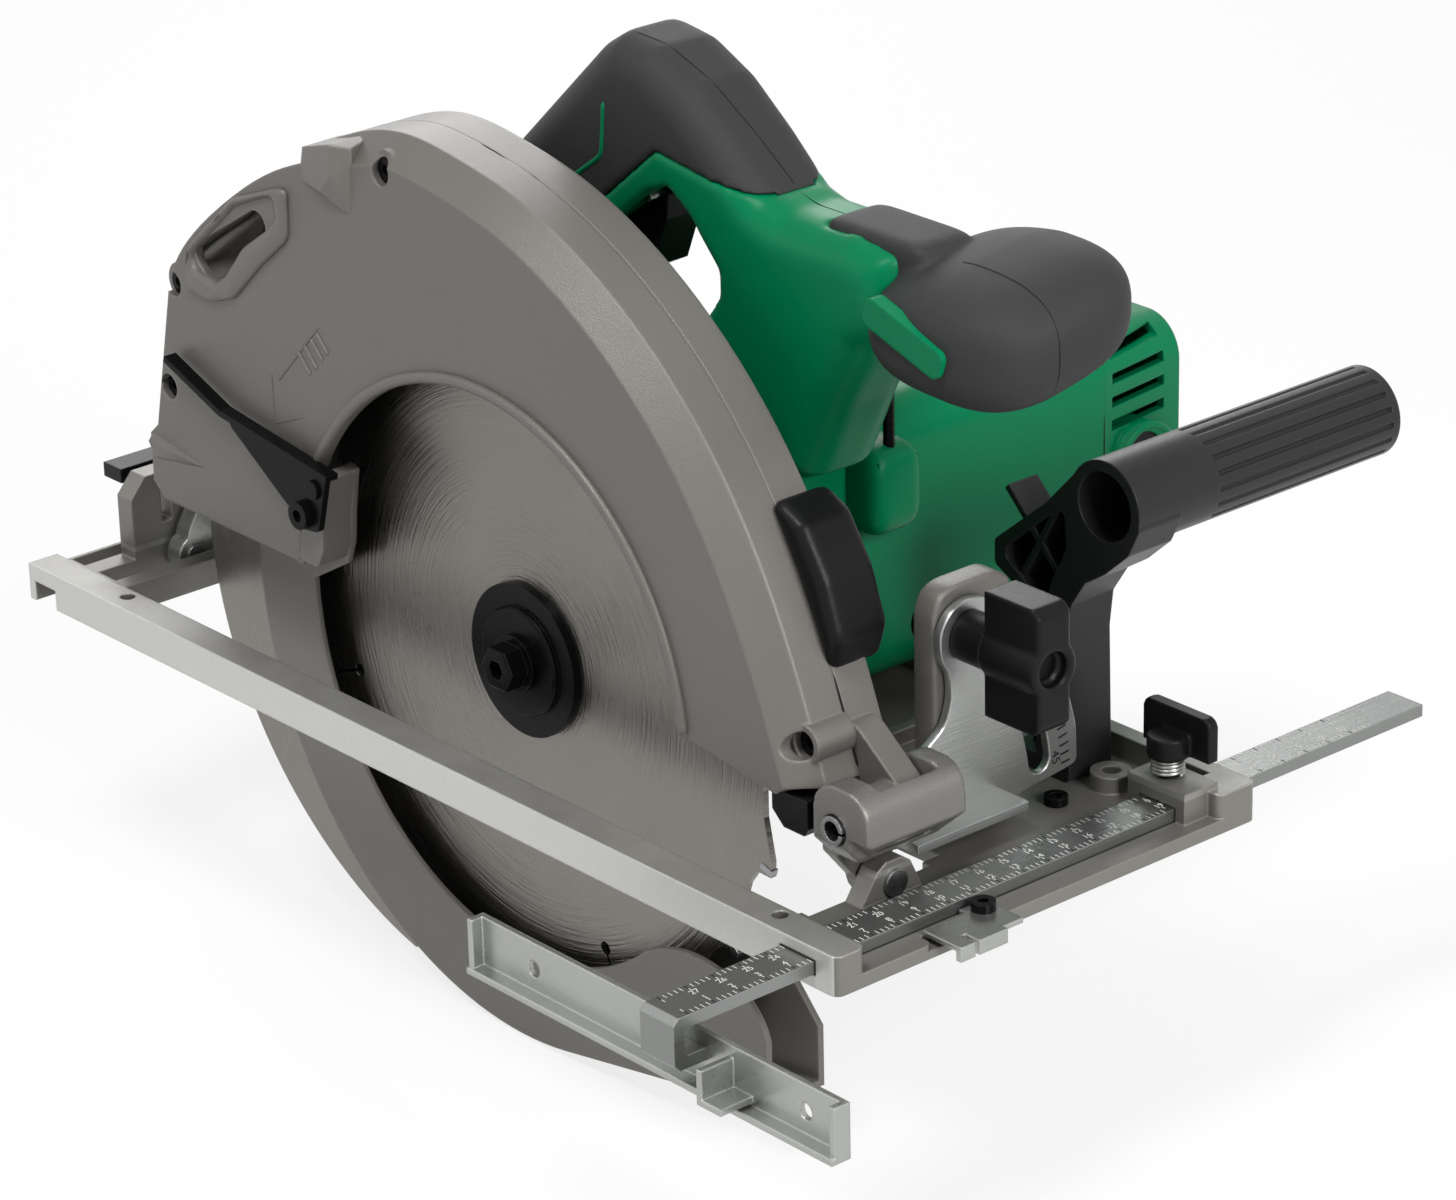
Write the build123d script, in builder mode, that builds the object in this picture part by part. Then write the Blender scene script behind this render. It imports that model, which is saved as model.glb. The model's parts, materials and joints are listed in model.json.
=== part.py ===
"""Hand-held circular saw for 235 mm blades, with a rip fence and a tilting base.

Frame: +X is the cutting direction, +Y the motor side, +Z up. Sizes are in millimetres.
The pieces are drawn with the arbor over x = 0 and the blade in the plane y = 0, on the plane
of the sole. They are written with the origin moved forward along the cutting line, to the
point of the sole under the middle of the rip fence bar.
"""
from build123d import *
import os
from math import atan2, cos, degrees, hypot, pi, radians, sin, sqrt

# ---------------------------------------------------------------- driving dimensions
# blade and arbor
blade_r = 117.5
blade_t = 2.1
blade_teeth = 20
tooth_depth = 8.0
max_depth = 86.0
hub_z = blade_r - max_depth
bore_r = 15.0
flange_r = 25.0
flange_t = 5.0
arbor_r = 10.0
spindle_r = 8.5
bolt_af = 13.0
bolt_head_h = 7.0

# clearances shared by all fits
run_gap = 0.05
turn_gap = 0.4
seat_gap = 0.5
plate_gap = 1.0

# base plate
base_front = 190.0
base_rear = -212.0
base_near = -45.3
base_far = 125.4
rim_h = 12.6
rim_t = 6.0
floor_t = 4.5
strip_w = 11.5
slot_front = 149.0
slot_rear = -178.0
slot_far = 33.0
well_x = 37.0
well_far = 68.0

# tilt axis (along X) and depth axis (along Y)
tilt_y = 5.0
tilt_z = 9.0
tilt_pin_r = 3.5
swing_x = 159.0
swing_z = 33.0
swing_pin_r = 4.5

# upper guard
guard_near = -18.0
guard_far = 17.0
seam_y = 4.0
guard_wall = 3.0
guard_chamfer = 9.0
opening_r = 92.5
guard_bottom = 40.5
guard_rear = -174.5

# lower guard
low_r = 127.4
low_inner_r = 98.2
low_near = -10.4
low_far = 12.4
low_wall = 2.0
low_pivot_r = 27.0

# gears and motor
module = 1.2
gear_teeth = 44
pinion_teeth = 11
gear_w = 12.0
gear_y = 34.0
motor_angle = 58.0
motor_half = 46.0
motor_wall = 3.0
tail_start = 186.0
tail_end = 225.0
shaft_r = 5.0
case_y = 60.0

# handle and knob
handle_y = 52.0
handle_w = 36.0
rubber_t = 3.0

# side handle
side_x = 155.0
side_z = 100.0
side_r = 14.5
side_bore_r = 11.0
side_start = 95.0
side_end = 208.0

# rip fence
bar_x = 173.5
bar_w = 14.4
bar_t = 4.0
bar_top = 8.5
bar_near = -98.0
bar_far = 209.5
fence_t = 2.0
fence_lip = 5.0
bar_gap = 0.5

gear_centre = module * (gear_teeth + pinion_teeth) / 2
motor_x = gear_centre * cos(radians(motor_angle))
motor_z = hub_z + gear_centre * sin(radians(motor_angle))


# ---------------------------------------------------------------- helpers
def side_plane(y):
    """Plane square to Y: sketch x is X, sketch y is Z, and extrusions run towards -Y."""
    return Plane(origin=(0, y, 0), x_dir=(1, 0, 0), z_dir=(0, -1, 0))


def front_plane(x):
    """Plane square to X: sketch x is Y, sketch y is Z, and extrusions run towards +X."""
    return Plane(origin=(x, 0, 0), x_dir=(0, 1, 0), z_dir=(1, 0, 0))


def about_hub(radius, angle):
    """Point of the XZ plane at a radius and an angle around the arbor."""
    return (radius * cos(radians(angle)), hub_z + radius * sin(radians(angle)))


def finish(builder, label):
    """Name the piece and write its STEP file with the origin under the fence bar."""
    builder.part = builder.part.moved(Location((-bar_x, 0, 0)))
    builder.part.label = label
    export_step(builder.part, f"parts/{label}.step")


os.makedirs("parts", exist_ok=True)


# ---------------------------------------------------------------- blade, flanges and spindle
def ring_points(count, pattern):
    """Repeat a pattern of (radius, part of a pitch) around the arbor."""
    points = []
    for index in range(count):
        for radius, share in pattern:
            points.append(about_hub(radius, (index + share) * 360 / count))
    return points


gullet_r = blade_r - tooth_depth
tooth_pattern = [(blade_r, 0), (blade_r - 1.2, 0.14), (gullet_r + 1, 0.5), (gullet_r, 0.75), (gullet_r + 2, 0.95)]

with BuildPart() as blade:
    with BuildSketch(side_plane(blade_t / 2)):
        with BuildLine():
            Polyline(*ring_points(blade_teeth, tooth_pattern), close=True)
        make_face()
        with Locations(about_hub(0, 0)):
            Circle(bore_r, mode=Mode.SUBTRACT)
    extrude(amount=blade_t)
    for slot_angle in (20, 110, 200, 290):
        with BuildSketch(side_plane(blade_t / 2)):
            with Locations(about_hub(gullet_r - 7, slot_angle)):
                Rectangle(15, 1.2, rotation=slot_angle)
            with Locations(about_hub(gullet_r - 15, slot_angle)):
                Circle(2.2)
        extrude(amount=blade_t, mode=Mode.SUBTRACT)
finish(blade, "blade")

inner_face = blade_t / 2
with BuildPart() as inner_flange:
    with BuildSketch(side_plane(inner_face + flange_t)):
        with Locations(about_hub(0, 0)):
            Circle(flange_r)
            Circle(arbor_r, mode=Mode.SUBTRACT)
    extrude(amount=flange_t)
    with BuildSketch(side_plane(inner_face)):
        with Locations(about_hub(0, 0)):
            Circle(bore_r - run_gap)
            Circle(arbor_r, mode=Mode.SUBTRACT)
    extrude(amount=blade_t - 0.1)
finish(inner_flange, "inner_flange")

outer_face = -blade_t / 2
with BuildPart() as outer_flange:
    with BuildSketch(side_plane(outer_face)):
        with Locations(about_hub(0, 0)):
            Circle(flange_r)
    extrude(amount=flange_t * 0.6)
    with BuildSketch(side_plane(outer_face - flange_t * 0.6)):
        with Locations(about_hub(0, 0)):
            Circle(flange_r * 0.72)
    extrude(amount=flange_t * 0.4)
    with BuildSketch(side_plane(outer_face)):
        with Locations(about_hub(0, 0)):
            Circle(4.2)
    extrude(amount=flange_t, mode=Mode.SUBTRACT)
    chamfer(outer_flange.edges().group_by(Axis.Y)[0].sort_by(SortBy.LENGTH)[-1:], length=0.8)
finish(outer_flange, "outer_flange")

flange_out = outer_face - flange_t
with BuildPart() as blade_bolt:
    with BuildSketch(side_plane(flange_out)):
        with Locations(about_hub(0, 0)):
            Circle(bolt_af * 0.72)
    extrude(amount=1.6)
    with BuildSketch(side_plane(flange_out - 1.6)):
        with Locations(about_hub(0, 0)):
            RegularPolygon(bolt_af / 2, 6, major_radius=False)
    extrude(amount=bolt_head_h)
    chamfer(blade_bolt.edges().group_by(Axis.Y)[0], length=0.7)
    with BuildSketch(side_plane(flange_out - 1.6 - bolt_head_h + 4)):
        with Locations(about_hub(0, 0)):
            RegularPolygon(3, 6, major_radius=False)
    extrude(amount=4, mode=Mode.SUBTRACT)
    with BuildSketch(side_plane(outer_face + 14)):
        with Locations(about_hub(0, 0)):
            Circle(4)
    extrude(amount=14 + flange_t)
finish(blade_bolt, "blade_bolt")

spindle_end = 56.0
with BuildPart() as spindle:
    with BuildSketch(side_plane(spindle_end)):
        with Locations(about_hub(0, 0)):
            Circle(spindle_r)
    extrude(amount=spindle_end - inner_face - flange_t)
    with BuildSketch(side_plane(inner_face + flange_t)):
        with Locations(about_hub(0, 0)):
            Circle(arbor_r)
    extrude(amount=flange_t)
    with BuildSketch(side_plane(20)):
        with Locations(about_hub(0, 0)):
            Circle(4)
    extrude(amount=20, mode=Mode.SUBTRACT)
finish(spindle, "spindle")


# ---------------------------------------------------------------- gears
def involute(angle):
    """Involute function of a pressure angle in radians."""
    return sin(angle) / cos(angle) - angle


def gear_outline(teeth, centre, phase):
    """Outline of a spur gear with eased involute flanks and backlash."""
    pitch_r = module * teeth / 2
    base_r = pitch_r * cos(radians(20))
    tip_r = pitch_r + 0.8 * module
    root_r = pitch_r - 1.2 * module
    half = pi / (2 * teeth) * 0.86
    points = []
    for tooth in range(teeth):
        mid = radians(phase) + 2 * pi * tooth / teeth
        flank = []
        for step in range(5):
            radius = max(root_r, base_r) + (tip_r - max(root_r, base_r)) * step / 4
            lean = involute(radians(20)) - involute(pi / 2 - atan2(base_r, (max(radius**2 - base_r**2, 0)) ** 0.5))
            flank.append((radius, half + lean))
        foot = min(half + involute(radians(20)) + 0.02, 0.97 * pi / teeth)
        side = [(root_r, foot)] + flank
        for radius, offset_angle in side:
            points.append((radius, mid - offset_angle))
        for radius, offset_angle in reversed(side):
            points.append((radius, mid + offset_angle))
    return [(centre[0] + r * cos(a), centre[1] + r * sin(a)) for r, a in points]


motor_axis = (motor_x, motor_z)
with BuildPart() as spindle_gear:
    with BuildSketch(side_plane(gear_y + gear_w)):
        with BuildLine():
            Polyline(*gear_outline(gear_teeth, about_hub(0, 0), motor_angle), close=True)
        make_face()
        with Locations(about_hub(0, 0)):
            Circle(spindle_r, mode=Mode.SUBTRACT)
    extrude(amount=gear_w)
finish(spindle_gear, "spindle_gear")

pinion_phase = motor_angle + 180 + 180 / pinion_teeth
with BuildPart() as pinion:
    with BuildSketch(side_plane(gear_y + gear_w + 1)):
        with BuildLine():
            Polyline(*gear_outline(pinion_teeth, motor_axis, pinion_phase), close=True)
        make_face()
        with Locations(motor_axis):
            Circle(3.5, mode=Mode.SUBTRACT)
    extrude(amount=gear_w + 2)
finish(pinion, "pinion")


# ---------------------------------------------------------------- armature
def rod(centre, radius, y_far, y_near):
    """Round bar along Y between two values of Y."""
    with BuildSketch(side_plane(y_far)) as disc:
        with Locations(centre):
            Circle(radius)
    extrude(disc.sketch, amount=y_far - y_near)


def bored(centre, radius, y_far, y_near):
    """Round hole along Y between two values of Y."""
    with BuildSketch(side_plane(y_far)) as disc:
        with Locations(centre):
            Circle(radius)
    extrude(disc.sketch, amount=y_far - y_near, mode=Mode.SUBTRACT)


core_start = 100.0
core_end = 155.0
core_r = 26.0
air_gap = 0.7
comm_start = 195.0
comm_end = 210.0
comm_r = 15.0
fan_start = 66.0
fan_end = 80.0
fan_r = 38.0
rear_bearing_y = 213.0
bearing_w = 8.0
bearing_r = 11.0
front_bearing_y = 51.0

with BuildPart() as armature_shaft:
    rod(motor_axis, shaft_r, rear_bearing_y + bearing_w, gear_y + gear_w + 1)
    rod(motor_axis, 3.5, gear_y + gear_w + 1, gear_y - 3)
finish(armature_shaft, "armature_shaft")

with BuildPart() as armature_core:
    rod(motor_axis, core_r, core_end, core_start)
    rod(motor_axis, core_r - 4, core_end + 8, core_start - 8)
    bored(motor_axis, shaft_r, core_end + 8, core_start - 8)
    with BuildSketch(side_plane(core_end)):
        with Locations(motor_axis):
            with PolarLocations(core_r, 12):
                Rectangle(5, 2.4)
    extrude(amount=core_end - core_start, mode=Mode.SUBTRACT)
finish(armature_core, "armature_core")

with BuildPart() as commutator:
    rod(motor_axis, comm_r, comm_end, comm_start)
    rod(motor_axis, comm_r + 2, comm_start, comm_start - 3)
    bored(motor_axis, shaft_r, comm_end, comm_start - 3)
finish(commutator, "commutator")

with BuildPart() as cooling_fan:
    rod(motor_axis, fan_r, fan_start + 2, fan_start)
    rod(motor_axis, 11, fan_end, fan_start)
    with BuildSketch(side_plane(fan_end)):
        with Locations(motor_axis):
            with PolarLocations(24, 14):
                Rectangle(26, 2, rotation=18)
    extrude(amount=fan_end - fan_start)
    bored(motor_axis, shaft_r, fan_end, fan_start)
finish(cooling_fan, "cooling_fan")

stator_r = 41.0
with BuildPart() as stator:
    rod(motor_axis, stator_r, core_end, core_start)
    bored(motor_axis, core_r + air_gap, core_end, core_start)
finish(stator, "stator")

with BuildPart() as stator_coils:
    for y_far in (core_end + 10, core_start):
        rod(motor_axis, stator_r - 3, y_far, y_far - 10)
        bored(motor_axis, core_r + 3, y_far, y_far - 10)
finish(stator_coils, "stator_coils")

case_bearing_y = 15.0
case_bearing_w = 11.0
case_bearing_r = 16.0
with BuildPart() as bearings:
    rod(about_hub(0, 0), case_bearing_r, case_bearing_y + case_bearing_w, case_bearing_y)
    bored(about_hub(0, 0), spindle_r + run_gap, case_bearing_y + case_bearing_w, case_bearing_y)
    rod(about_hub(0, 0), 12, spindle_end, spindle_end - 8)
    bored(about_hub(0, 0), spindle_r + run_gap, spindle_end, spindle_end - 8)
    rod(motor_axis, bearing_r, front_bearing_y + bearing_w, front_bearing_y)
    bored(motor_axis, shaft_r + run_gap, front_bearing_y + bearing_w, front_bearing_y)
    rod(motor_axis, bearing_r, rear_bearing_y + bearing_w, rear_bearing_y)
    bored(motor_axis, shaft_r + run_gap, rear_bearing_y + bearing_w, rear_bearing_y)
finish(bearings, "bearings")


# ---------------------------------------------------------------- upper guard
rim_spiral = [(3, 146.5), (13, 141), (28, 138), (45, 139.5), (60, 143.5), (75, 150), (87, 156.5), (96, 162), (104, 168), (112, 170.5), (117, 171)]
port_dome = [(119, 167), (127, 171), (135, 174.5), (143, 179), (149, 181), (153, 179)]
foot_z = 36.0


def guard_face(y, inset=0.0, bevel=0.0):
    """Outline of the upper guard: a spiral over the blade, the chip port dome and a straight back.

    The inset moves the whole outline inwards, and the bevel the spiral alone.
    """
    spiral_points = [about_hub(radius - inset - bevel, angle) for angle, radius in rim_spiral]
    dome_points = [about_hub(radius - inset, angle) for angle, radius in port_dome]
    back_x = guard_rear + inset
    low_z = guard_bottom + inset
    with BuildSketch(side_plane(y)) as face:
        with BuildLine():
            Spline(*spiral_points)
            Line(spiral_points[-1], dome_points[0])
            Spline(*dome_points)
            Polyline(dome_points[-1], (back_x + 4.5, 66.5), (back_x, 62.5), (back_x, low_z + 5), (back_x + 6, low_z))
            Polyline((back_x + 6, low_z), (100, low_z), (134, foot_z + inset), spiral_points[0])
        make_face()
    return face.sketch


def guard_slab(y_far, y_near, inset=0.0, mode=Mode.ADD):
    """Slab of the upper guard's outline between two values of Y."""
    extrude(guard_face(y_far, inset), amount=y_far - y_near, mode=mode)


space_near = guard_near + guard_wall
space_bevel = guard_chamfer - 0.586 * guard_wall
with BuildPart() as cover_space:
    guard_slab(seam_y, space_near + space_bevel, guard_wall)
    loft([guard_face(space_near + space_bevel, guard_wall), guard_face(space_near, guard_wall, space_bevel)], ruled=True)
    rod(about_hub(0, 0), low_r + 2.5, seam_y, space_near)
    with BuildSketch(side_plane(seam_y)):
        with Locations(((guard_rear + guard_wall - 100) / 2, guard_bottom)):
            Rectangle(-100 - guard_rear - guard_wall, 4 * guard_wall)
    extrude(amount=seam_y - space_near)

port_corners = [(-97, 163), (-147, 133), (-131, 124), (-106, 143)]
cover_screws = [
    (about_hub(158, 105.5), 5.0, seam_y), ((138.8, 51.0), 12.0, seam_y), ((-162, 82), 5.0, -9.0), ((-156, 119), 5.0, -9.0)]
screw_head_r = 3.8
boss_wall = 2.6
with BuildPart() as guard_cover:
    guard_slab(seam_y, guard_near + guard_chamfer)
    loft([guard_face(guard_near + guard_chamfer), guard_face(guard_near, 0, guard_chamfer)], ruled=True)
    add(cover_space.part, mode=Mode.SUBTRACT)
    for hole, depth, boss_end in cover_screws:
        rod(hole, screw_head_r + boss_wall, boss_end, guard_near + 0.6 * depth)
    rod(about_hub(0, 0), opening_r + 3, guard_near, guard_near - 0.8)
    bored(about_hub(0, 0), opening_r, seam_y, guard_near - 0.8)
    with BuildSketch(side_plane(seam_y)):
        with Locations((0, guard_bottom - 100)):
            Rectangle(2 * opening_r + 8, 200)
    extrude(amount=seam_y - guard_near + 2, mode=Mode.SUBTRACT)
    with BuildSketch(side_plane(guard_near + 2 * guard_wall)):
        with BuildLine():
            FilletPolyline(*port_corners, radius=5, close=True)
        make_face()
    extrude(amount=2 * guard_wall, mode=Mode.SUBTRACT)
    for hole, depth, _ in cover_screws:
        bored(hole, screw_head_r + 0.5, guard_near + depth, guard_near - 1)
        bored(hole, 2.6, seam_y, guard_near)
finish(guard_cover, "guard_cover")


case_pivot_r = low_pivot_r - run_gap
case_back = guard_far - guard_wall
knife_t = 2.0
box_near = guard_far
cavity_near = 28.0
cavity_far = 48.0
lug_near = -8.0
lug_far = 13.5
lug_r = 8.5
knife_spot = (-153, 62)
knife_bolts = [(-157.5, 69), (-149, 55)]


def gear_box(hub_radius, motor_radius, y_far, y_near, mode=Mode.ADD):
    """Egg-shaped slab round the arbor and the motor axis."""
    with BuildSketch(side_plane(y_far)) as egg:
        with Locations(about_hub(0, 0)):
            Circle(hub_radius)
        with Locations(motor_axis):
            Circle(motor_radius)
        make_hull()
    extrude(egg.sketch, amount=y_far - y_near, mode=mode)


gear_room = module * (gear_teeth / 2 + 0.8) + 0.8
pinion_room = module * (pinion_teeth / 2 + 0.8) + 3
box_hub_r = gear_room + 2.2
box_motor_r = 20.0
with BuildPart() as far_space:
    guard_slab(case_back, seam_y, guard_wall)
    rod(about_hub(0, 0), low_r + 2.5, case_back, seam_y)
    with BuildSketch(side_plane(case_back)):
        with Locations(((guard_rear + guard_wall - 100) / 2, guard_bottom)):
            Rectangle(-100 - guard_rear - guard_wall, 4 * guard_wall)
    extrude(amount=case_back - seam_y)

swing_axis = (swing_x, swing_z)
with BuildPart() as gear_case:
    guard_slab(guard_far, seam_y)
    add(far_space.part, mode=Mode.SUBTRACT)
    with BuildSketch(side_plane(guard_far)):
        with Locations((0, guard_bottom - 100)):
            Rectangle(2 * (low_r + 2.5), 200)
        with Locations(about_hub(0, 0)):
            Circle(box_hub_r + 6, mode=Mode.SUBTRACT)
    extrude(amount=guard_far - seam_y, mode=Mode.SUBTRACT)
    gear_box(box_hub_r, box_motor_r, case_y, box_near)
    rod(about_hub(0, 0), box_hub_r, guard_far, case_back)
    rod(about_hub(0, 0), case_pivot_r, case_back, 8)
    gear_box(gear_room, pinion_room, cavity_far, cavity_near, Mode.SUBTRACT)
    bored(about_hub(0, 0), spindle_r + 1.5, spindle_end + 1, 8)
    bored(about_hub(0, 0), case_bearing_r, case_bearing_y + case_bearing_w, 8)
    bored(about_hub(0, 0), 12, spindle_end, cavity_far)
    bored(motor_axis, bearing_r, case_y, front_bearing_y)
    bored(motor_axis, shaft_r + 1, front_bearing_y, cavity_far)
    with BuildSketch(side_plane(case_back)):
        with Locations(knife_spot):
            Rectangle(20, 28)
    extrude(amount=case_back - knife_t / 2)
    with BuildSketch(side_plane(lug_far)):
        with Locations(swing_axis, (swing_x - 17, swing_z + 13)):
            Circle(lug_r)
        make_hull()
    extrude(amount=lug_far - seam_y)
    rod(swing_axis, lug_r, lug_far, lug_near)
    bored(swing_axis, swing_pin_r + run_gap, lug_far, lug_near)
    for hole, _, _ in cover_screws:
        rod(hole, screw_head_r, case_back, seam_y)
        bored(hole, 2.0, case_back - 2, seam_y)
    for hole in knife_bolts:
        bored(hole, 2.6, 12, -2)
finish(gear_case, "gear_case")


def pan_screw(centre, y_seat, length, head_r=3.8, shank_r=2.0):
    """Pan-head screw along Y with its head on the near side of a seat."""
    rod(centre, head_r, y_seat, y_seat - 2.6)
    rod(centre, shank_r, y_seat + length, y_seat)
    bored(centre, head_r * 0.45, y_seat - 1.0, y_seat - 2.6)


with BuildPart() as guard_screws:
    for hole, depth, _ in cover_screws:
        pan_screw(hole, guard_near + depth, 25 - depth)
finish(guard_screws, "guard_screws")


# ---------------------------------------------------------------- riving knife
knife_inner = low_r + 4.0
with BuildPart() as riving_knife:
    with BuildSketch(side_plane(knife_t / 2)):
        with BuildLine():
            tip = about_hub(141, -118)
            outer_arc = ThreePointArc(about_hub(166, 162), about_hub(168.3, -179), about_hub(160, -150))
            lower_arc = TangentArc(outer_arc @ 1, tip, tangent=outer_arc % 1)
            foot = Line(tip, about_hub(knife_inner, -121))
            inner_arc = ThreePointArc(foot @ 1, about_hub(knife_inner, -165), about_hub(knife_inner + 6, 164))
            Polyline(inner_arc @ 1, (knife_spot[0] + 14, 84), (knife_spot[0] - 8, 84), outer_arc @ 0)
        make_face()
        with Locations(*knife_bolts):
            Circle(2.2, mode=Mode.SUBTRACT)
    extrude(amount=knife_t)
finish(riving_knife, "riving_knife")

with BuildPart() as knife_screws:
    for hole in knife_bolts:
        pan_screw(hole, -knife_t / 2, 10, head_r=4.5)
finish(knife_screws, "knife_screws")


# ---------------------------------------------------------------- lower guard
toe_x = 119.0
toe_z = -76.5
toe_slot = 3.5
guard_tail = 174
guard_leave = -80
lug_outline = [(-89.5, 44), (-86.5, 58), (-82, 70), (-77.5, 77), (-73.4, 76), (-76.4, 59.5), (-77, 50), (-80, 44)]


def low_arc(radius, start, end):
    """Arc round the arbor as a wire edge."""
    return ThreePointArc(about_hub(radius, start), about_hub(radius, (start + end) / 2), about_hub(radius, end))


with BuildPart() as lower_guard:
    with BuildSketch(side_plane(low_near + low_wall)):
        with BuildLine():
            low_arc(low_r, guard_tail - 360, guard_leave)
            Polyline(about_hub(low_r, guard_leave), (toe_x, toe_z), (toe_x, -54))
            lobe = Spline((toe_x, -54), (112, -44), (98, -38), (84, -37), about_hub(low_inner_r, -50))
            low_arc(low_inner_r, -50, guard_tail - 360 + 6)
            Polyline(about_hub(low_inner_r, guard_tail + 6), (-80, 42), (-77, 50), (-76, 60), (-73.4, 76), (-77.5, 77), (-86, 72), about_hub(low_r, guard_tail - 12), about_hub(low_r, guard_tail))
        make_face()
    extrude(amount=low_wall)
    with BuildSketch(side_plane(low_far)):
        with BuildLine():
            low_arc(low_r, guard_tail - 360, guard_leave)
            Polyline(about_hub(low_r, guard_leave), (toe_x, toe_z), (toe_x, -56), (106, -42), (20, 20), (-20, 60), about_hub(low_r, guard_tail))
        make_face()
        with Locations(about_hub(0, 0)):
            Circle(low_pivot_r + 8)
            Circle(low_pivot_r, mode=Mode.SUBTRACT)
    extrude(amount=low_wall)
    with BuildSketch(side_plane(low_far)):
        with BuildLine():
            low_arc(low_r, guard_tail - 360, guard_leave)
            Line(about_hub(low_r, guard_leave), (toe_x, toe_z))
            Line((toe_x, toe_z), (toe_x, toe_z + low_wall))
            Line((toe_x, toe_z + low_wall), about_hub(low_r - low_wall, guard_leave))
            low_arc(low_r - low_wall, guard_leave, guard_tail - 360)
            Line(about_hub(low_r - low_wall, guard_tail), about_hub(low_r, guard_tail))
        make_face()
    extrude(amount=low_far - low_near)
    with BuildSketch(Plane.XZ):
        with BuildLine():
            low_arc(knife_inner - 2, guard_leave - 10, -20)
            Polyline(about_hub(knife_inner - 2, -20), (170, -20), (170, -120), (0, -120), about_hub(knife_inner - 2, guard_leave - 10))
        make_face()
    extrude(amount=toe_slot, both=True, mode=Mode.SUBTRACT)
    with BuildSketch(side_plane(low_near + 1)):
        with BuildLine():
            FilletPolyline(*lug_outline, radius=1.5, close=True)
        make_face()
    extrude(amount=low_near + 1 + 22)
finish(lower_guard, "lower_guard")

lever_y = -22.0
lever_t = 2.2
with BuildPart() as guard_lever:
    with BuildSketch(side_plane(lever_y)):
        with BuildLine():
            FilletPolyline((-126, 85.3), (-70, 78.3), (-75.5, 57.8), (-85, 56.5), (-90, 62), radius=1.8, close=True)
        make_face()
    extrude(amount=lever_t)
    with BuildSketch(side_plane(lever_y + 2.6)):
        with BuildLine():
            Polyline((-155, 96), (-126, 85.3), (-70, 78.3), (-70.3, 76.3), (-126.4, 83.2), (-155.6, 94), close=True)
        make_face()
    extrude(amount=lever_t + 2.6)
    for hole in ((-83, 62), (-77, 72)):
        bored(hole, 2.2, lever_y, lever_y - lever_t)
finish(guard_lever, "guard_lever")

with BuildPart() as lever_screws:
    pan_screw((-83, 62), lever_y - lever_t, lever_t, head_r=4.6, shank_r=2.15)
    rod((-77, 72), 3.2, lever_y - lever_t, lever_y - lever_t - 1.2)
    rod((-77, 72), 2.15, lever_y, lever_y - lever_t)
finish(lever_screws, "lever_screws")

with BuildPart() as guard_spring:
    for turn in range(3):
        turn_r = low_pivot_r + 2.6 + 1.9 * turn
        rod(about_hub(0, 0), turn_r, case_back, case_back - 0.8)
        bored(about_hub(0, 0), turn_r - 1.0, case_back, case_back - 0.8)
finish(guard_spring, "guard_spring")


# ---------------------------------------------------------------- base plate
def block(x0, x1, y0, y1, z0, z1, mode=Mode.ADD):
    """Box between two values of each coordinate."""
    with BuildSketch(Plane.XY.offset(z0)) as foot_print:
        with Locations(((x0 + x1) / 2, (y0 + y1) / 2)):
            Rectangle(x1 - x0, y1 - y0)
    extrude(foot_print.sketch, amount=z1 - z0, mode=mode)


def upright_hole(centre, radius, z0, z1):
    """Hole along Z between two heights."""
    with BuildSketch(Plane.XY.offset(z0)) as disc:
        with Locations(centre):
            Circle(radius)
    extrude(disc.sketch, amount=z1 - z0, mode=Mode.SUBTRACT)


def upright_rod(centre, radius, z0, z1):
    """Round bar along Z between two heights."""
    with BuildSketch(Plane.XY.offset(z0)) as disc:
        with Locations(centre):
            Circle(radius)
    extrude(disc.sketch, amount=z1 - z0)


def lug_plate(x0, x1, points, mode=Mode.ADD):
    """Plate square to X with an outline in Y and Z."""
    with BuildSketch(front_plane(x0)) as face:
        with BuildLine():
            Polyline(*points, close=True)
        make_face()
    extrude(face.sketch, amount=x1 - x0, mode=mode)


def along_x(centre, radius, x0, x1, mode=Mode.ADD):
    """Round bar or hole along X; the centre is given in Y and Z."""
    with BuildSketch(front_plane(x0)) as disc:
        with Locations(centre):
            Circle(radius)
    extrude(disc.sketch, amount=x1 - x0, mode=mode)


tilt_axis = (tilt_y, tilt_z)
strip_in = base_near + strip_w
ear_front = (152.5, 159.5)
ear_rear = (-203.0, -195.0)
clamp_y = 106.5
clamp_x = 171.0
clamp_top = 14.5
bracket_x = (131.0, 140.0)
bracket_y = (39.5, 74.0)
tapped_hole = (150.0, 103.5)
floor_screw = (147.0, 83.0)
foot_screw = (121.0, 104.0)
pointer_screw = (base_front - 4, 15.5)
edge_holes = [(158.0, -38.0), (-165.0, -38.0)]

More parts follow.
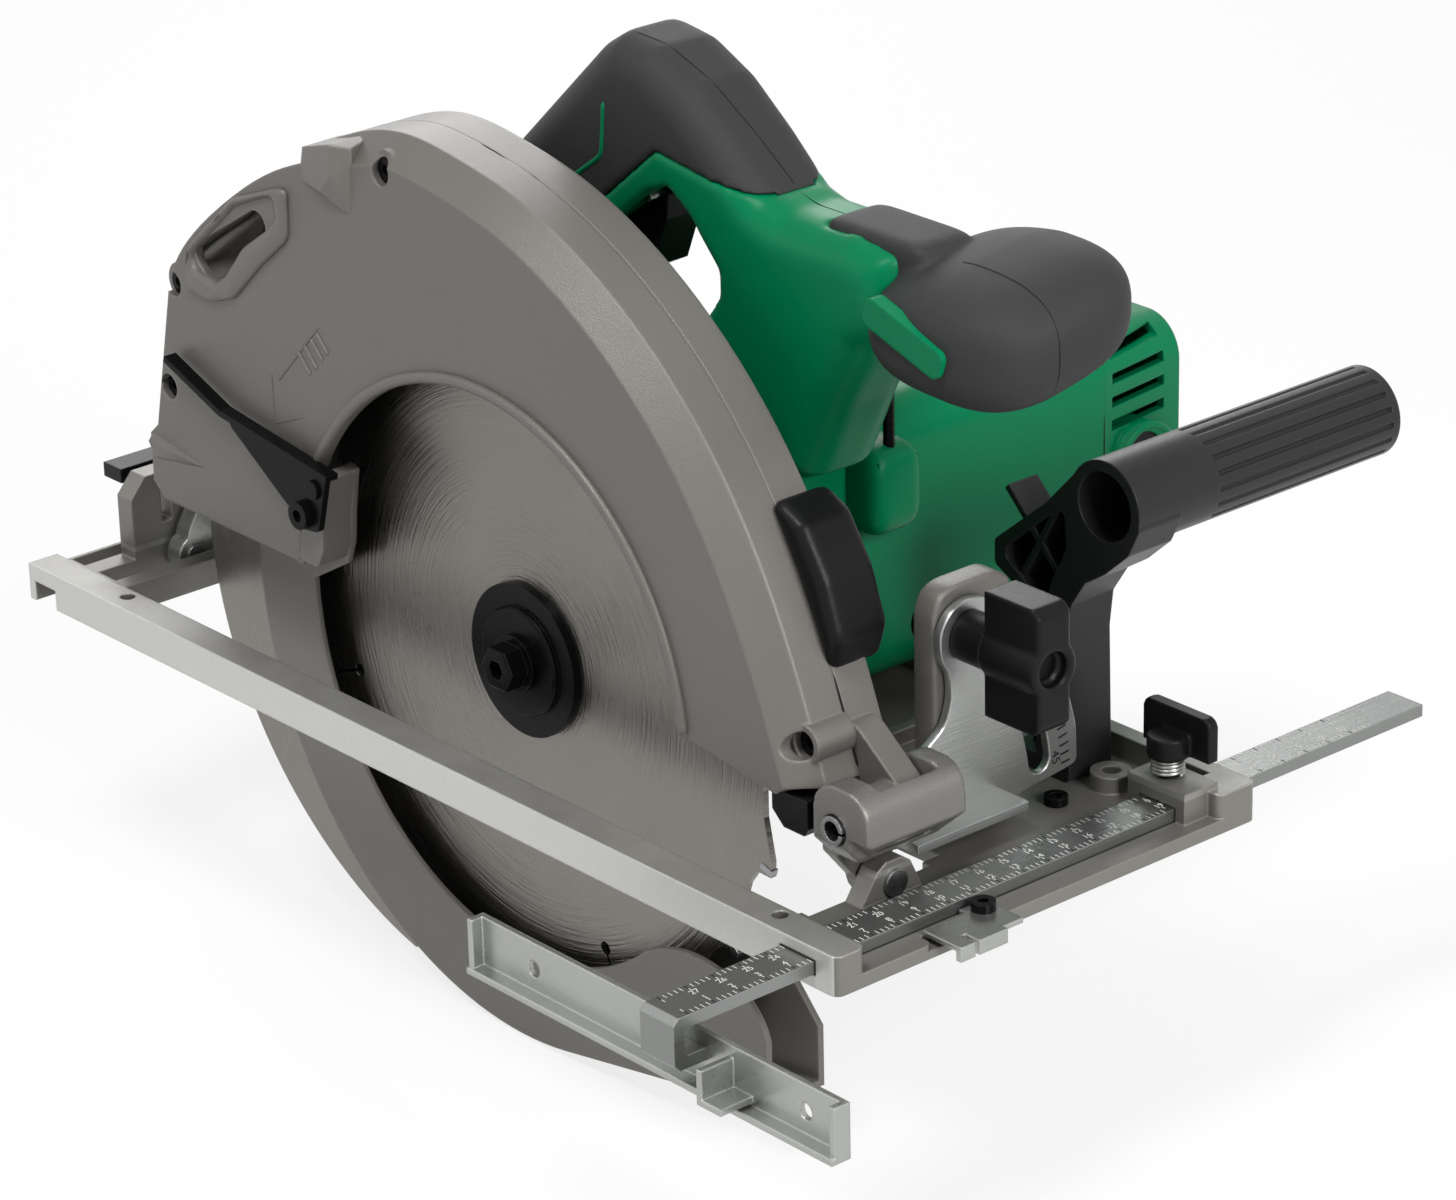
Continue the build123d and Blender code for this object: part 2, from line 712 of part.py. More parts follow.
with BuildPart() as base_plate:
    block(base_rear, base_front, base_near, base_far, 0, floor_t)
    block(base_rear, base_front, base_near, strip_in, floor_t, rim_h)
    block(base_rear, base_front, base_far - rim_t, base_far, floor_t, rim_h)
    block(base_rear, slot_rear, base_near, base_far, floor_t, rim_h - 3)
    block(slot_rear, 110, slot_far, slot_far + 4, floor_t, rim_h - 3)
    block(80, 84, slot_far, base_far, floor_t, rim_h - 3)
    block(110, 114, slot_far, base_far, floor_t, rim_h - 3)
    block(-90, -86, slot_far, base_far, floor_t, rim_h - 3)
    block(base_front - 14, base_front, base_far - 16, base_far, floor_t, rim_h)
    block(slot_rear, slot_front, strip_in, slot_far, -1, rim_h + 1, Mode.SUBTRACT)
    block(-well_x, well_x, slot_far - 1, well_far, -1, rim_h + 1, Mode.SUBTRACT)
    for pocket in ((base_rear + 1.5, ear_rear[0]), (ear_rear[1], -184.8)):
        block(pocket[0], pocket[1], -29, 20, -1, rim_h, Mode.SUBTRACT)
    block(ear_rear[0], ear_rear[1], -14, 20, floor_t, rim_h - 3)
    lug_plate(*ear_rear, [(-14, floor_t), (20, floor_t), (20, 30), (13, 38), (-8, 38), (-14, 31)])
    lug_plate(*ear_rear, [(-2, 20), (2, 20), (2, 32), (-2, 32)], Mode.SUBTRACT)
    lug_plate(*ear_front, [(-8, floor_t), (16, floor_t), (11.5, 14), (8, 16.2), (2, 16.2), (-1.5, 14)])
    for ear in (ear_front, ear_rear):
        along_x(tilt_axis, tilt_pin_r, ear[0], ear[1], Mode.SUBTRACT)
    block(slot_front - 1, ear_front[0] - 0.2, -22, 26, -1, rim_h, Mode.SUBTRACT)
    block(clamp_x - 10, clamp_x + 14, clamp_y - 7, clamp_y + 7, floor_t, clamp_top)
    block(bar_x - bar_w / 2 - bar_gap, bar_x + bar_w / 2 + bar_gap, base_near - 1, base_far + 1,
          bar_top - bar_t - bar_gap, bar_top + bar_gap, Mode.SUBTRACT)
    upright_hole((clamp_x, clamp_y), 3.0 + run_gap, bar_top, clamp_top + 1)
    upright_rod(tapped_hole, 6.5, floor_t, 10)
    upright_hole(tapped_hole, 3, -1, 11)
    for hole in edge_holes:
        upright_hole(hole, 2.6, -1, rim_h + 1)
    block(-209, -197, base_near - 1, strip_in + 0.01, -1, 7, Mode.SUBTRACT)
    block(base_front - 6, base_front + 1, -8, 12, 2.5, floor_t + 1, Mode.SUBTRACT)
    for hole in (pointer_screw, floor_screw, foot_screw):
        upright_hole(hole, 1.6, -1, floor_t + 1)
    fillet(base_plate.edges().filter_by(Axis.Z).group_by(Axis.X)[-1], radius=3)
finish(base_plate, "base_plate")

with BuildPart() as tilt_pins:
    along_x(tilt_axis, tilt_pin_r, ear_front[0] - 8.2, ear_front[1] + 1.2)
    along_x(tilt_axis, tilt_pin_r + 0.8, ear_front[1], ear_front[1] + 1.4)
    along_x(tilt_axis, tilt_pin_r, ear_rear[0] - 1.2, ear_rear[1] + 9.2)
    along_x(tilt_axis, tilt_pin_r + 0.8, ear_rear[0] - 1.4, ear_rear[0])
finish(tilt_pins, "tilt_pins")

with BuildPart() as pointer_plate:
    block(base_front - 8.4, base_front + 8, -6.5, 20, floor_t, floor_t + 1.6)
    block(base_front + 8, base_front + 10, -6.5, 12, floor_t - 3, floor_t + 1.6)
    block(base_front + 4, base_front + 11, -0.8, 0.8, floor_t - 4, floor_t + 2, Mode.SUBTRACT)
    block(base_front - 9, base_front - 6, -7, 10, floor_t - 1, floor_t + 3, Mode.SUBTRACT)
    upright_hole(pointer_screw, 1.6, floor_t - 1, floor_t + 3)
finish(pointer_plate, "pointer_plate")

with BuildPart() as base_screws:
    for centre, seat in ((pointer_screw, floor_t + 1.6), (floor_screw, floor_t), (foot_screw, floor_t + 6)):
        upright_rod(centre, 3.8, seat, seat + 2.8)
        upright_hole(centre, 1.7, seat + 1.2, seat + 3)
        upright_rod(centre, 1.55, floor_t - 3, seat)
finish(base_screws, "base_screws")

tilt_bolt_r = 75.0
tilt_bolt_angle = 53.0
tilt_bolt = (
    tilt_y + tilt_bolt_r * cos(radians(tilt_bolt_angle)),
    tilt_z + tilt_bolt_r * sin(radians(tilt_bolt_angle)),
)
plate_x = (140.5, 143.5)
with BuildPart() as bevel_bracket:
    lug_plate(bracket_x[0], bracket_x[1], [
        (bracket_y[0], floor_t), (bracket_y[1] + 2, floor_t), (bracket_y[1], 30), (bracket_y[1] - 2, 74),
        (bracket_y[1] - 10, 84), (bracket_y[0] + 8, 84), (bracket_y[0], 74)])
    along_x(tilt_bolt, 4.0, bracket_x[0] - 1, bracket_x[1] + 1, Mode.SUBTRACT)
    fillet(bevel_bracket.edges().filter_by(Axis.X).group_by(Axis.Z)[-1], radius=5)
finish(bevel_bracket, "bevel_bracket")

with BuildPart() as tilt_bolt_part:
    along_x(tilt_bolt, 3.9, bracket_x[0], 176)
    along_x(tilt_bolt, 7.5, bracket_x[0] - 4, bracket_x[0])
finish(tilt_bolt_part, "tilt_bolt")

# side handle: a fluted tube along Y on a ribbed gusset and a curved leg
gusset = [
    (108, 68), (108, 76), (130, 94), (147, 112), (168, 106), (169.5, 96), (165, 87), (155.5, 78.5), (147, 73), (141, 64),
    (139.5, 52), (140.5, floor_t), (126, floor_t), (126, 48), (120, 62)]
gusset_pocket = [(113, 71), (113, 75), (131, 90), (138, 94), (139, 82), (133, 70), (129, 58), (124, 64)]
with BuildPart() as side_handle:
    with BuildSketch(side_plane(side_start + 18)):
        with BuildLine():
            FilletPolyline(*gusset, radius=2.5, close=True)
        make_face()
    extrude(amount=18)
    with BuildSketch(side_plane(side_start + 13)):
        with BuildLine():
            FilletPolyline(*gusset_pocket, radius=1.5, close=True)
        make_face()
    extrude(amount=13, mode=Mode.SUBTRACT)
    with BuildSketch(side_plane(side_start + 13)):
        with Locations((126.5, 80)):
            Rectangle(2.2, 40, rotation=-30)
            Rectangle(2.2, 40, rotation=45)
    extrude(amount=12)
    block(100, 180, side_start - 20, side_start + 40, 120, 140, Mode.SUBTRACT)
    rod((side_x, side_z), side_r, side_end, side_start)
    with BuildSketch(side_plane(side_end - 3)):
        with Locations((side_x, side_z)):
            with PolarLocations(side_r, 18):
                Circle(0.9)
    extrude(amount=76, mode=Mode.SUBTRACT)
    bored((side_x, side_z), side_bore_r, side_start + 60, side_start)
    block(115, 138, side_start, side_start + 18, floor_t, floor_t + 6)
    upright_hole(foot_screw, 1.7, 0, floor_t + 7)
finish(side_handle, "side_handle")


# ---------------------------------------------------------------- carriage
def polar(centre, radius, angle):
    """Point at a radius and angle from a centre."""
    return (centre[0] + radius * cos(radians(angle)), centre[1] + radius * sin(radians(angle)))


def arc_slot(plane, centre, radius, half_width, start, end):
    """Curved slot with round ends, drawn on a plane."""
    middle = (start + end) / 2
    with BuildSketch(plane) as face:
        with BuildLine():
            ThreePointArc(*[polar(centre, radius - half_width, angle) for angle in (start, middle, end)])
            Line(polar(centre, radius - half_width, end), polar(centre, radius + half_width, end))
            ThreePointArc(*[polar(centre, radius + half_width, angle) for angle in (end, middle, start)])
            Line(polar(centre, radius + half_width, start), polar(centre, radius - half_width, start))
        make_face()
        with Locations(polar(centre, radius, start), polar(centre, radius, end)):
            Circle(half_width)
    return face.sketch


def side_profile(points, y_far, y_near, mode=Mode.ADD):
    """Slab square to Y with an outline in X and Z."""
    with BuildSketch(side_plane(y_far)) as face:
        with BuildLine():
            Polyline(*points, close=True)
        make_face()
    extrude(face.sketch, amount=y_far - y_near, mode=mode)


ear_near = (-18.0, -8.5)
ear_far = (14.0, 21.0)
hinge_x = (150.0, 173.5)
hinge_top = 47.0
leg_x = (145.5, 151.5)
bar_clear_x = bar_x - bar_w / 2 - bar_gap - 0.3
with BuildPart() as hinge_block:
    lug_plate(hinge_x[0], hinge_x[1], [
        (ear_near[0], 28), (ear_near[0] + 5.5, 22), (-9, 20), (ear_far[1], 20), (ear_far[1], hinge_top), (ear_near[0], hinge_top)])
    fillet(hinge_block.edges().filter_by(Axis.Y).group_by(Axis.Z)[-1], radius=9)
    block(hinge_x[0] - 1, swing_x + lug_r + 0.8, ear_near[1], ear_far[0], 24, hinge_top + 1, Mode.SUBTRACT)
    side_profile([(161, 19), (161, 20), (hinge_x[1], 31), (hinge_x[1] + 1, 31), (hinge_x[1] + 1, 19)],
                 ear_far[1] + 1, ear_near[0] - 1, Mode.SUBTRACT)
    lug_plate(leg_x[0], leg_x[1], [(-2, 9), (-11, 20), (-11, 24), (13.5, 24), (13.5, 20), (12, 9)])
    along_x(tilt_axis, 7, leg_x[0], leg_x[1])
    along_x(tilt_axis, tilt_pin_r + run_gap, leg_x[0], leg_x[1], Mode.SUBTRACT)
    lug_plate(bar_clear_x, hinge_x[1] + 1, [(-19, 15), (-19, 33.2), (-5.8, 20), (-5.8, 15)], Mode.SUBTRACT)
    bored(swing_axis, swing_pin_r, ear_far[1], ear_near[0])
finish(hinge_block, "hinge_block")

with BuildPart() as swing_pin:
    rod(swing_axis, swing_pin_r, ear_far[1] + 0.8, ear_near[0] - 0.8)
    bored(swing_axis, swing_pin_r - 1.4, ear_far[1] + 0.8, ear_near[0] - 0.8)
    block(swing_x, swing_x + swing_pin_r + 1, ear_near[0] - 1, ear_far[1] + 1, swing_z - 0.5, swing_z + 0.5, Mode.SUBTRACT)
finish(swing_pin, "swing_pin")

with BuildPart() as bevel_plate:
    lug_plate(plate_x[0], plate_x[1], [
        (14, 10), (14, 35), (17.6, 35), (20, 38), (33, 39), (39, 46), (39, 70), (42, 77), (50, 80), (58, 78), (72, 67), (84, 53),
        (91, 40), (95, 25), (95, 13), (69, 10)])
    extrude(arc_slot(front_plane(plate_x[0]), tilt_axis, tilt_bolt_r, 4.3, 7.5, tilt_bolt_angle),
            amount=plate_x[1] - plate_x[0], mode=Mode.SUBTRACT)
    block(plate_x[1], 156.5, 17, 62, 12.5, 15.5)
    block(plate_x[1], hinge_x[0], ear_far[0], ear_far[1], 13, 36)
finish(bevel_plate, "bevel_plate")

link_y = (19.0, 22.5)
link_r = 250.0
link_bolt_angle = 175.0
link_bolt = polar(swing_axis, link_r, link_bolt_angle)
rear_leg_x = (-193.6, -186.4)
with BuildPart() as depth_link:
    extrude(arc_slot(side_plane(link_y[1]), swing_axis, link_r, 11, 152, 177), amount=link_y[1] - link_y[0])
    side_profile([(rear_leg_x[0], 14), (rear_leg_x[0], 42), (-150, 52), (-94, 54), (-94, 24), (-150, 14)], link_y[1], link_y[0])
    extrude(arc_slot(side_plane(link_y[1]), swing_axis, link_r, 4.3, 152.5, link_bolt_angle + 0.3),
            amount=link_y[1] - link_y[0], mode=Mode.SUBTRACT)
    lug_plate(rear_leg_x[0], rear_leg_x[1], [(0, 9), (3, 18), (16, 40), (link_y[1], 40), (link_y[1], 14), (11, 6)])
    along_x(tilt_axis, 6.8, rear_leg_x[0], rear_leg_x[1])
    along_x(tilt_axis, tilt_pin_r + run_gap, rear_leg_x[0], rear_leg_x[1], Mode.SUBTRACT)
finish(depth_link, "depth_link")

with BuildPart() as depth_bolt:
    rod(link_bolt, 3.9, 38, guard_far)
    rod(link_bolt, 6, link_y[0] - 0.6, guard_far)
finish(depth_bolt, "depth_bolt")

with BuildPart() as depth_lever:
    rod(link_bolt, 9, 34, link_y[1] + 1)
    side_profile([(-90, 62), (-150, 58), (-205, 53), (-216, 42), (-216, 33), (-205, 33), (-205, 41), (-150, 49), (-90, 47)],
                 link_y[1] + 8, link_y[1] + 4)
    block(-216, -206, -10, link_y[1] + 8, 33, 38)
    bored(link_bolt, 3.9 + run_gap, 34, link_y[1] + 1)
finish(depth_lever, "depth_lever")

knob_x = (157.0, 180.0)
with BuildPart() as wing_knob:
    along_x(tilt_bolt, 8, plate_x[1] + 0.5, knob_x[0])
    block(knob_x[0], knob_x[1], tilt_bolt[0] - 6.5, tilt_bolt[0] + 6.5, tilt_bolt[1] - 20, tilt_bolt[1] + 20)
    chamfer(wing_knob.edges().filter_by(Axis.Y).group_by(Axis.X)[-1], length=2.5)
    along_x(tilt_bolt, 9, knob_x[0], knob_x[1])
    along_x(tilt_bolt, 3.9 + run_gap, plate_x[1], knob_x[1], Mode.SUBTRACT)
    along_x(tilt_bolt, 5.5, 176.5, knob_x[1], Mode.SUBTRACT)
finish(wing_knob, "wing_knob")


# ---------------------------------------------------------------- motor housing
def motor_square(y, half, radius):
    """Rounded square round the motor axis."""
    with BuildSketch(side_plane(y)) as face:
        with Locations(motor_axis):
            RectangleRounded(2 * half, 2 * half, radius)
    return face.sketch


housing_start = guard_far + 0.4
brush_y = (comm_start + comm_end) / 2
hex_key_y = 85.0
with BuildPart() as motor_housing:
    extrude(motor_square(tail_start, motor_half, 14), amount=tail_start - housing_start)
    block(56, 76, hex_key_y - 8, hex_key_y + 8, 80, 96)
    extrude(motor_square(tail_start, motor_half - motor_wall, 11),
            amount=tail_start - housing_start - motor_wall, mode=Mode.SUBTRACT)
    for seat_end in (core_start + 8, core_end):
        extrude(motor_square(seat_end, motor_half - motor_wall, 11), amount=8)
    extrude(motor_square(fan_end + 7, motor_half - motor_wall, 11), amount=3)
    bored(motor_axis, stator_r, core_end + 1, core_start - 1)
    bored(motor_axis, 28, fan_end + 8, fan_end + 3)
    gear_box(box_hub_r, box_motor_r, case_y, housing_start - 1, Mode.SUBTRACT)
    block(70, 74, hex_key_y - 2, hex_key_y + 2, 84, 97, Mode.SUBTRACT)
finish(motor_housing, "motor_housing")

with BuildPart() as hex_key:
    with BuildSketch(Plane.XY.offset(84)) as key_shape:
        with Locations((72, hex_key_y)):
            RegularPolygon(1.9, 6)
    extrude(key_shape.sketch, amount=38)
    with BuildSketch(side_plane(hex_key_y - 1.5)) as key_bend:
        with Locations((72, 122)):
            RegularPolygon(2.1, 6)
    extrude(key_bend.sketch, amount=11)
finish(hex_key, "hex_key")

tail_wall = 3.0
vent_z = [74.0, 82.0, 90.0, 98.0]
front_side = motor_axis[0] + motor_half
rear_side = motor_axis[0] - motor_half
with BuildPart() as tail_cover:
    loft([motor_square(tail_start, motor_half, 14), motor_square(tail_end, motor_half - 5, 14)], ruled=True)
    loft([motor_square(tail_start, motor_half - tail_wall, 11),
          motor_square(tail_end - tail_wall, motor_half - 5 - tail_wall, 11)], ruled=True, mode=Mode.SUBTRACT)
    along_x((brush_y, motor_axis[1]), 13, front_side - 8, front_side + 1)
    along_x((brush_y, motor_axis[1]), 13, rear_side - 1, rear_side + 8)
    along_x((brush_y, motor_axis[1]), 9.5, rear_side - 2, front_side + 2, Mode.SUBTRACT)
    for height in vent_z:
        block(front_side - 16, front_side + 2, tail_start + 4, tail_end - 8, height - 1.8, height + 1.8, Mode.SUBTRACT)
        block(rear_side - 2, rear_side + 12, tail_start + 4, tail_end - 8, height - 1.8, height + 1.8, Mode.SUBTRACT)
    rod(motor_axis, bearing_r + 3, tail_end - tail_wall, rear_bearing_y)
    bored(motor_axis, bearing_r, rear_bearing_y + bearing_w, rear_bearing_y)
finish(tail_cover, "tail_cover")

with BuildPart() as brush_caps:
    along_x((brush_y, motor_axis[1]), 9.5, front_side - 7, front_side)
    along_x((brush_y, motor_axis[1]), 9.5, rear_side, rear_side + 7)
    block(front_side - 1.5, front_side + 1, brush_y - 5, brush_y + 5, motor_axis[1] - 1, motor_axis[1] + 1, Mode.SUBTRACT)
    block(rear_side - 1, rear_side + 1.5, brush_y - 5, brush_y + 5, motor_axis[1] - 1, motor_axis[1] + 1, Mode.SUBTRACT)
finish(brush_caps, "brush_caps")

with BuildPart() as brush_holders:
    along_x((brush_y, motor_axis[1]), 6, motor_axis[0] + comm_r + 4, front_side - 7)
    along_x((brush_y, motor_axis[1]), 6, rear_side + 7, motor_axis[0] - comm_r - 4)
    along_x((brush_y, motor_axis[1]), 4, rear_side + 8, front_side - 8, Mode.SUBTRACT)
finish(brush_holders, "brush_holders")

with BuildPart() as carbon_brushes:
    along_x((brush_y, motor_axis[1]), 4, motor_axis[0] + comm_r + 0.6, front_side - 18)
    along_x((brush_y, motor_axis[1]), 4, rear_side + 18, motor_axis[0] - comm_r - 0.6)
finish(carbon_brushes, "carbon_brushes")


# ---------------------------------------------------------------- handle
handle_outline = [
    (-96, 128), (-80, 150), (-51, 177), (-5, 220), (4, 225.5), (19, 223.5), (36, 215.5), (53, 202.5), (69, 188.5),
    (78, 186), (92, 186), (108, 187), (124, 184), (128, 158), (112, 150), (100, 130), (88, 105), (63, 95), (-28, 90),
    (-78, 112)]
finger_window = [
    (-30, 133), (-22, 150), (5, 168), (20, 180), (30, 184), (40, 177), (53, 163), (53, 155), (47, 147), (38, 135),
    (20, 125), (-10, 122)]
rubber_area = [(69, 188), (25, 194), (-2, 172), (-45, 138), (-75, 118), (-110, 120), (-110, 240), (100, 240), (84, 196)]
handle_round = 12.0
tongue = (92.0, 127.0, 43.0, 63.0, 183.0, 188.0)


switch_spot = (-18.0, 181.0)
switch_size = (36.0, 20.0, 12.0)
switch_turn = 40.0
button_spot = (-20.0, 187.0)
button_r = 5.0
trigger_axis = (14.0, 176.0)
trigger_w = 14.0
trigger_pocket = [(-20, 154), (-20, 166), (0, 182), (22, 184), (23, 168), (14, 148), (0, 138), (-16, 144)]


def switch_box(grow, mode=Mode.ADD):
    """Box of the switch inside the grip, grown by a small amount."""
    with BuildSketch(side_plane(handle_y + switch_size[2] / 2 + grow)) as face:
        with Locations(switch_spot):
            Rectangle(switch_size[0] + 2 * grow, switch_size[1] + 2 * grow, rotation=switch_turn)
    extrude(face.sketch, amount=switch_size[2] + 2 * grow, mode=mode)


gland_spot = (-82.0, 125.0)
gland_turn = 232.0
gland_r = 6.5
gland_plane = Plane(
    origin=(gland_spot[0], handle_y, gland_spot[1]),
    x_dir=(0, 1, 0),
    z_dir=(cos(radians(gland_turn)), 0, sin(radians(gland_turn))))


def gland_rod(radius, start, end, mode=Mode.ADD):
    """Round bar or hole along the axis of the cord inlet."""
    with BuildSketch(gland_plane.offset(start)) as disc:
        Circle(radius)
    extrude(disc.sketch, amount=end - start, mode=mode)


with BuildPart() as handle_core:
    with BuildSketch(side_plane(handle_y + handle_w / 2 - rubber_t)) as core_face:
        with BuildLine():
            Polyline(*handle_outline, close=True)
        make_face()
        offset(amount=-rubber_t, kind=Kind.INTERSECTION)
    extrude(core_face.sketch, amount=handle_w - 2 * rubber_t)
    fillet(handle_core.edges().filter_by(Plane.XZ), radius=handle_round - rubber_t)
    side_profile(finger_window, handle_y + handle_w / 2, handle_y - handle_w / 2, Mode.SUBTRACT)

with BuildPart() as handle_whole:
    with BuildSketch(side_plane(handle_y + handle_w / 2)) as whole_face:
        with BuildLine():
            Polyline(*handle_outline, close=True)
        make_face()
    extrude(whole_face.sketch, amount=handle_w)
    fillet(handle_whole.edges().filter_by(Plane.XZ), radius=handle_round)
    side_profile(finger_window, handle_y + handle_w / 2 + 1, handle_y - handle_w / 2 - 1, Mode.SUBTRACT)

with BuildPart() as grip_cover:
    add(handle_whole.part)
    side_profile(rubber_area, handle_y + handle_w, handle_y - handle_w, Mode.INTERSECT)
    add(handle_core.part, mode=Mode.SUBTRACT)
    bored(button_spot, button_r + 0.4, handle_y + handle_w, handle_y)
    gland_rod(gland_r, -4, 40, Mode.SUBTRACT)
finish(grip_cover, "grip_cover")

with BuildPart() as core_top:
    add(handle_core.part)
    side_profile(rubber_area, handle_y + handle_w, handle_y - handle_w, Mode.INTERSECT)

with BuildPart() as handle_shell:
    add(handle_whole.part)
    side_profile(rubber_area, handle_y + handle_w, handle_y - handle_w, Mode.SUBTRACT)
    add(core_top.part)
    extrude(motor_square(tail_start, motor_half, 14), amount=tail_start - housing_start, mode=Mode.SUBTRACT)
    block(*tongue, Mode.SUBTRACT)
    switch_box(0.3, Mode.SUBTRACT)
    side_profile(trigger_pocket, handle_y + trigger_w / 2 + 0.6, handle_y - trigger_w / 2 - 0.6, Mode.SUBTRACT)
    bored(button_spot, button_r + 0.4, handle_y + handle_w, handle_y + 7)
    bored(trigger_axis, 2.0, handle_y + 12, handle_y - 12)
    gland_rod(gland_r, -4, 40, Mode.SUBTRACT)
finish(handle_shell, "handle_shell")

with BuildPart() as cord_inlet:
    gland_rod(gland_r, -4, 18)
    gland_rod(gland_r - 2, -5, 19, Mode.SUBTRACT)
finish(cord_inlet, "cord_inlet")

with BuildPart() as trigger_switch:
    switch_box(0)
finish(trigger_switch, "trigger_switch")

trigger_outline = [(-14, 160), (8, 175), (14, 179.5), (18, 176), (17, 168), (10, 151), (0, 146), (-12, 152)]
with BuildPart() as trigger:
    side_profile(trigger_outline, handle_y + trigger_w / 2, handle_y - trigger_w / 2)
    fillet(trigger.edges().filter_by(Axis.Y).group_by(Axis.Z)[0], radius=2.5)
    bored(trigger_axis, 2.0 + run_gap, handle_y + trigger_w, handle_y - trigger_w)
finish(trigger, "trigger")

with BuildPart() as trigger_pin:
    rod(trigger_axis, 2.0, handle_y + 12, handle_y - 12)
finish(trigger_pin, "trigger_pin")

with BuildPart() as lock_button:
    rod(button_spot, button_r, handle_y + handle_w / 2 + 2.5, handle_y + 10)
finish(lock_button, "lock_button")


# ---------------------------------------------------------------- front knob
knob_centre = (147.0, 170.0)
knob_y = 58.0
knob_half = (38.0, 34.0, 21.5)
knob_steps = [-0.97, -0.8, -0.45, 0, 0.45, 0.8, 0.97]
insert_turn = -18.0


def knob_section(step):
    """Ellipse of the knob at a share of its half width."""
    with BuildSketch(side_plane(knob_y + knob_half[1] * step)) as face:
        with Locations(knob_centre):
            Ellipse(knob_half[0] * sqrt(1 - step * step), knob_half[2] * sqrt(1 - step * step))
    return face.sketch


def knob_bar(grow, y_far, y_near, mode=Mode.ADD):
    """Bar let into the near side of the knob."""
    with BuildSketch(side_plane(y_far)) as face:
        with Locations((143, 168)):
            RectangleRounded(34 + grow, 9 + grow, 3, rotation=insert_turn)
    extrude(face.sketch, amount=y_far - y_near, mode=mode)


with BuildPart() as knob_cover:
    loft([knob_section(step) for step in knob_steps])
    side_profile(handle_outline, handle_y + handle_w / 2, handle_y - handle_w / 2, Mode.SUBTRACT)
    knob_bar(0, handle_y - 22, handle_y - 40, Mode.SUBTRACT)
    block(*tongue)
finish(knob_cover, "knob_cover")

with BuildPart() as knob_insert:
    knob_bar(0, handle_y - 22, handle_y - 27)
finish(knob_insert, "knob_insert")


# ---------------------------------------------------------------- chip duct and block
duct_outline = [
    about_hub(128, 16), about_hub(140, 15), about_hub(147, 19), about_hub(148, 26), about_hub(147, 33),
    about_hub(141, 37), about_hub(128, 36)]
duct_y = (2.0, 24.0)
duct_hole = about_hub(134, 21)
with BuildPart() as blower_duct:
    with BuildSketch(side_plane(duct_y[1])):
        with BuildLine():
            FilletPolyline(*duct_outline, radius=4, close=True)
        make_face()
    extrude(amount=duct_y[1] - duct_y[0])
    fillet(blower_duct.edges().filter_by(Plane.XZ), radius=3.5)
    guard_slab(guard_far, 0, 0, Mode.SUBTRACT)
    bored(duct_hole, 1.6, duct_y[1] + 1, guard_far + 1)
finish(blower_duct, "blower_duct")

with BuildPart() as duct_screw:
    rod(duct_hole, 3.4, duct_y[1] + 2.5, duct_y[1])
    rod(duct_hole, 1.6, duct_y[1], guard_far + 1)
finish(duct_screw, "duct_screw")

with BuildPart() as chip_block:
    side_profile([(129, 36), (129, 29), (134, 24.5), (143, 24.5), (144.5, 27), (144.5, 36)], 3, -15)
finish(chip_block, "chip_block")


# ---------------------------------------------------------------- rip fence
fence_y = (-86.0, -84.0)
fence_x = (78.5, 238.0)
fence_z = (-17.0, 0.5)
bar_bottom = bar_top - bar_t
weld_x = (190.0, 200.0)
web_holes = [(104.0, -8.0), (222.0, -8.0)]
with BuildPart() as fence_bar:
    block(bar_x - bar_w / 2, bar_x + bar_w / 2, bar_near + 2, bar_far, bar_bottom, bar_top)
    lug_plate(bar_x - bar_w / 2, bar_x + bar_w / 2, [
        (bar_near + 2, bar_top), (bar_near, bar_top - 2), (bar_near, -6), (bar_near + 2, -8), (fence_y[0], -8),
        (fence_y[0], -4), (bar_near + 5, -4), (bar_near + bar_t, -2), (bar_near + bar_t, bar_bottom)])
finish(fence_bar, "fence_bar")

with BuildPart() as fence_channel:
    block(fence_x[0], fence_x[1], fence_y[0], fence_y[1], fence_z[0], fence_z[1])
    block(fence_x[0], fence_x[1], fence_y[0] - fence_lip, fence_y[0], fence_z[0], fence_z[0] + fence_t)
    block(fence_x[0], fence_x[0] + fence_t, fence_y[0] - 4, fence_y[0], fence_z[0] + fence_t, fence_z[1])
    block(fence_x[1] - fence_t, fence_x[1], fence_y[0] - 4, fence_y[0], fence_z[0] + fence_t, fence_z[1])
    block(weld_x[0], weld_x[1], fence_y[0] - 12, fence_y[0], -14, -12)
    block(weld_x[0], weld_x[0] + fence_t, fence_y[0] - 12, fence_y[0], -12, -3)
    for hole in web_holes:
        bored(hole, 2.6, fence_y[1] + 1, fence_y[0] - 1)
finish(fence_channel, "fence_channel")

screw_tip = bar_top + 0.3
thumb_z = (21.0, 28.0)
with BuildPart() as thumb_screw:
    upright_rod((clamp_x, clamp_y), 3.0, screw_tip, thumb_z[0] + 1)
    upright_rod((clamp_x, clamp_y), 6.5, *thumb_z)
    block(clamp_x - 14, clamp_x + 13.5, clamp_y + 3.5, clamp_y + 7.5, thumb_z[0], thumb_z[1] + 7)
    fillet(thumb_screw.edges().filter_by(Axis.Y).group_by(Axis.Z)[-1], radius=2.5)
finish(thumb_screw, "thumb_screw")

with BuildPart() as clamp_spring:
    for turn in range(4):
        start = clamp_top + 0.1 + 1.6 * turn
        upright_rod((clamp_x, clamp_y), 5.2, start, start + 1)
        upright_hole((clamp_x, clamp_y), 3.5, start - 0.1, start + 1.1)
finish(clamp_spring, "clamp_spring")
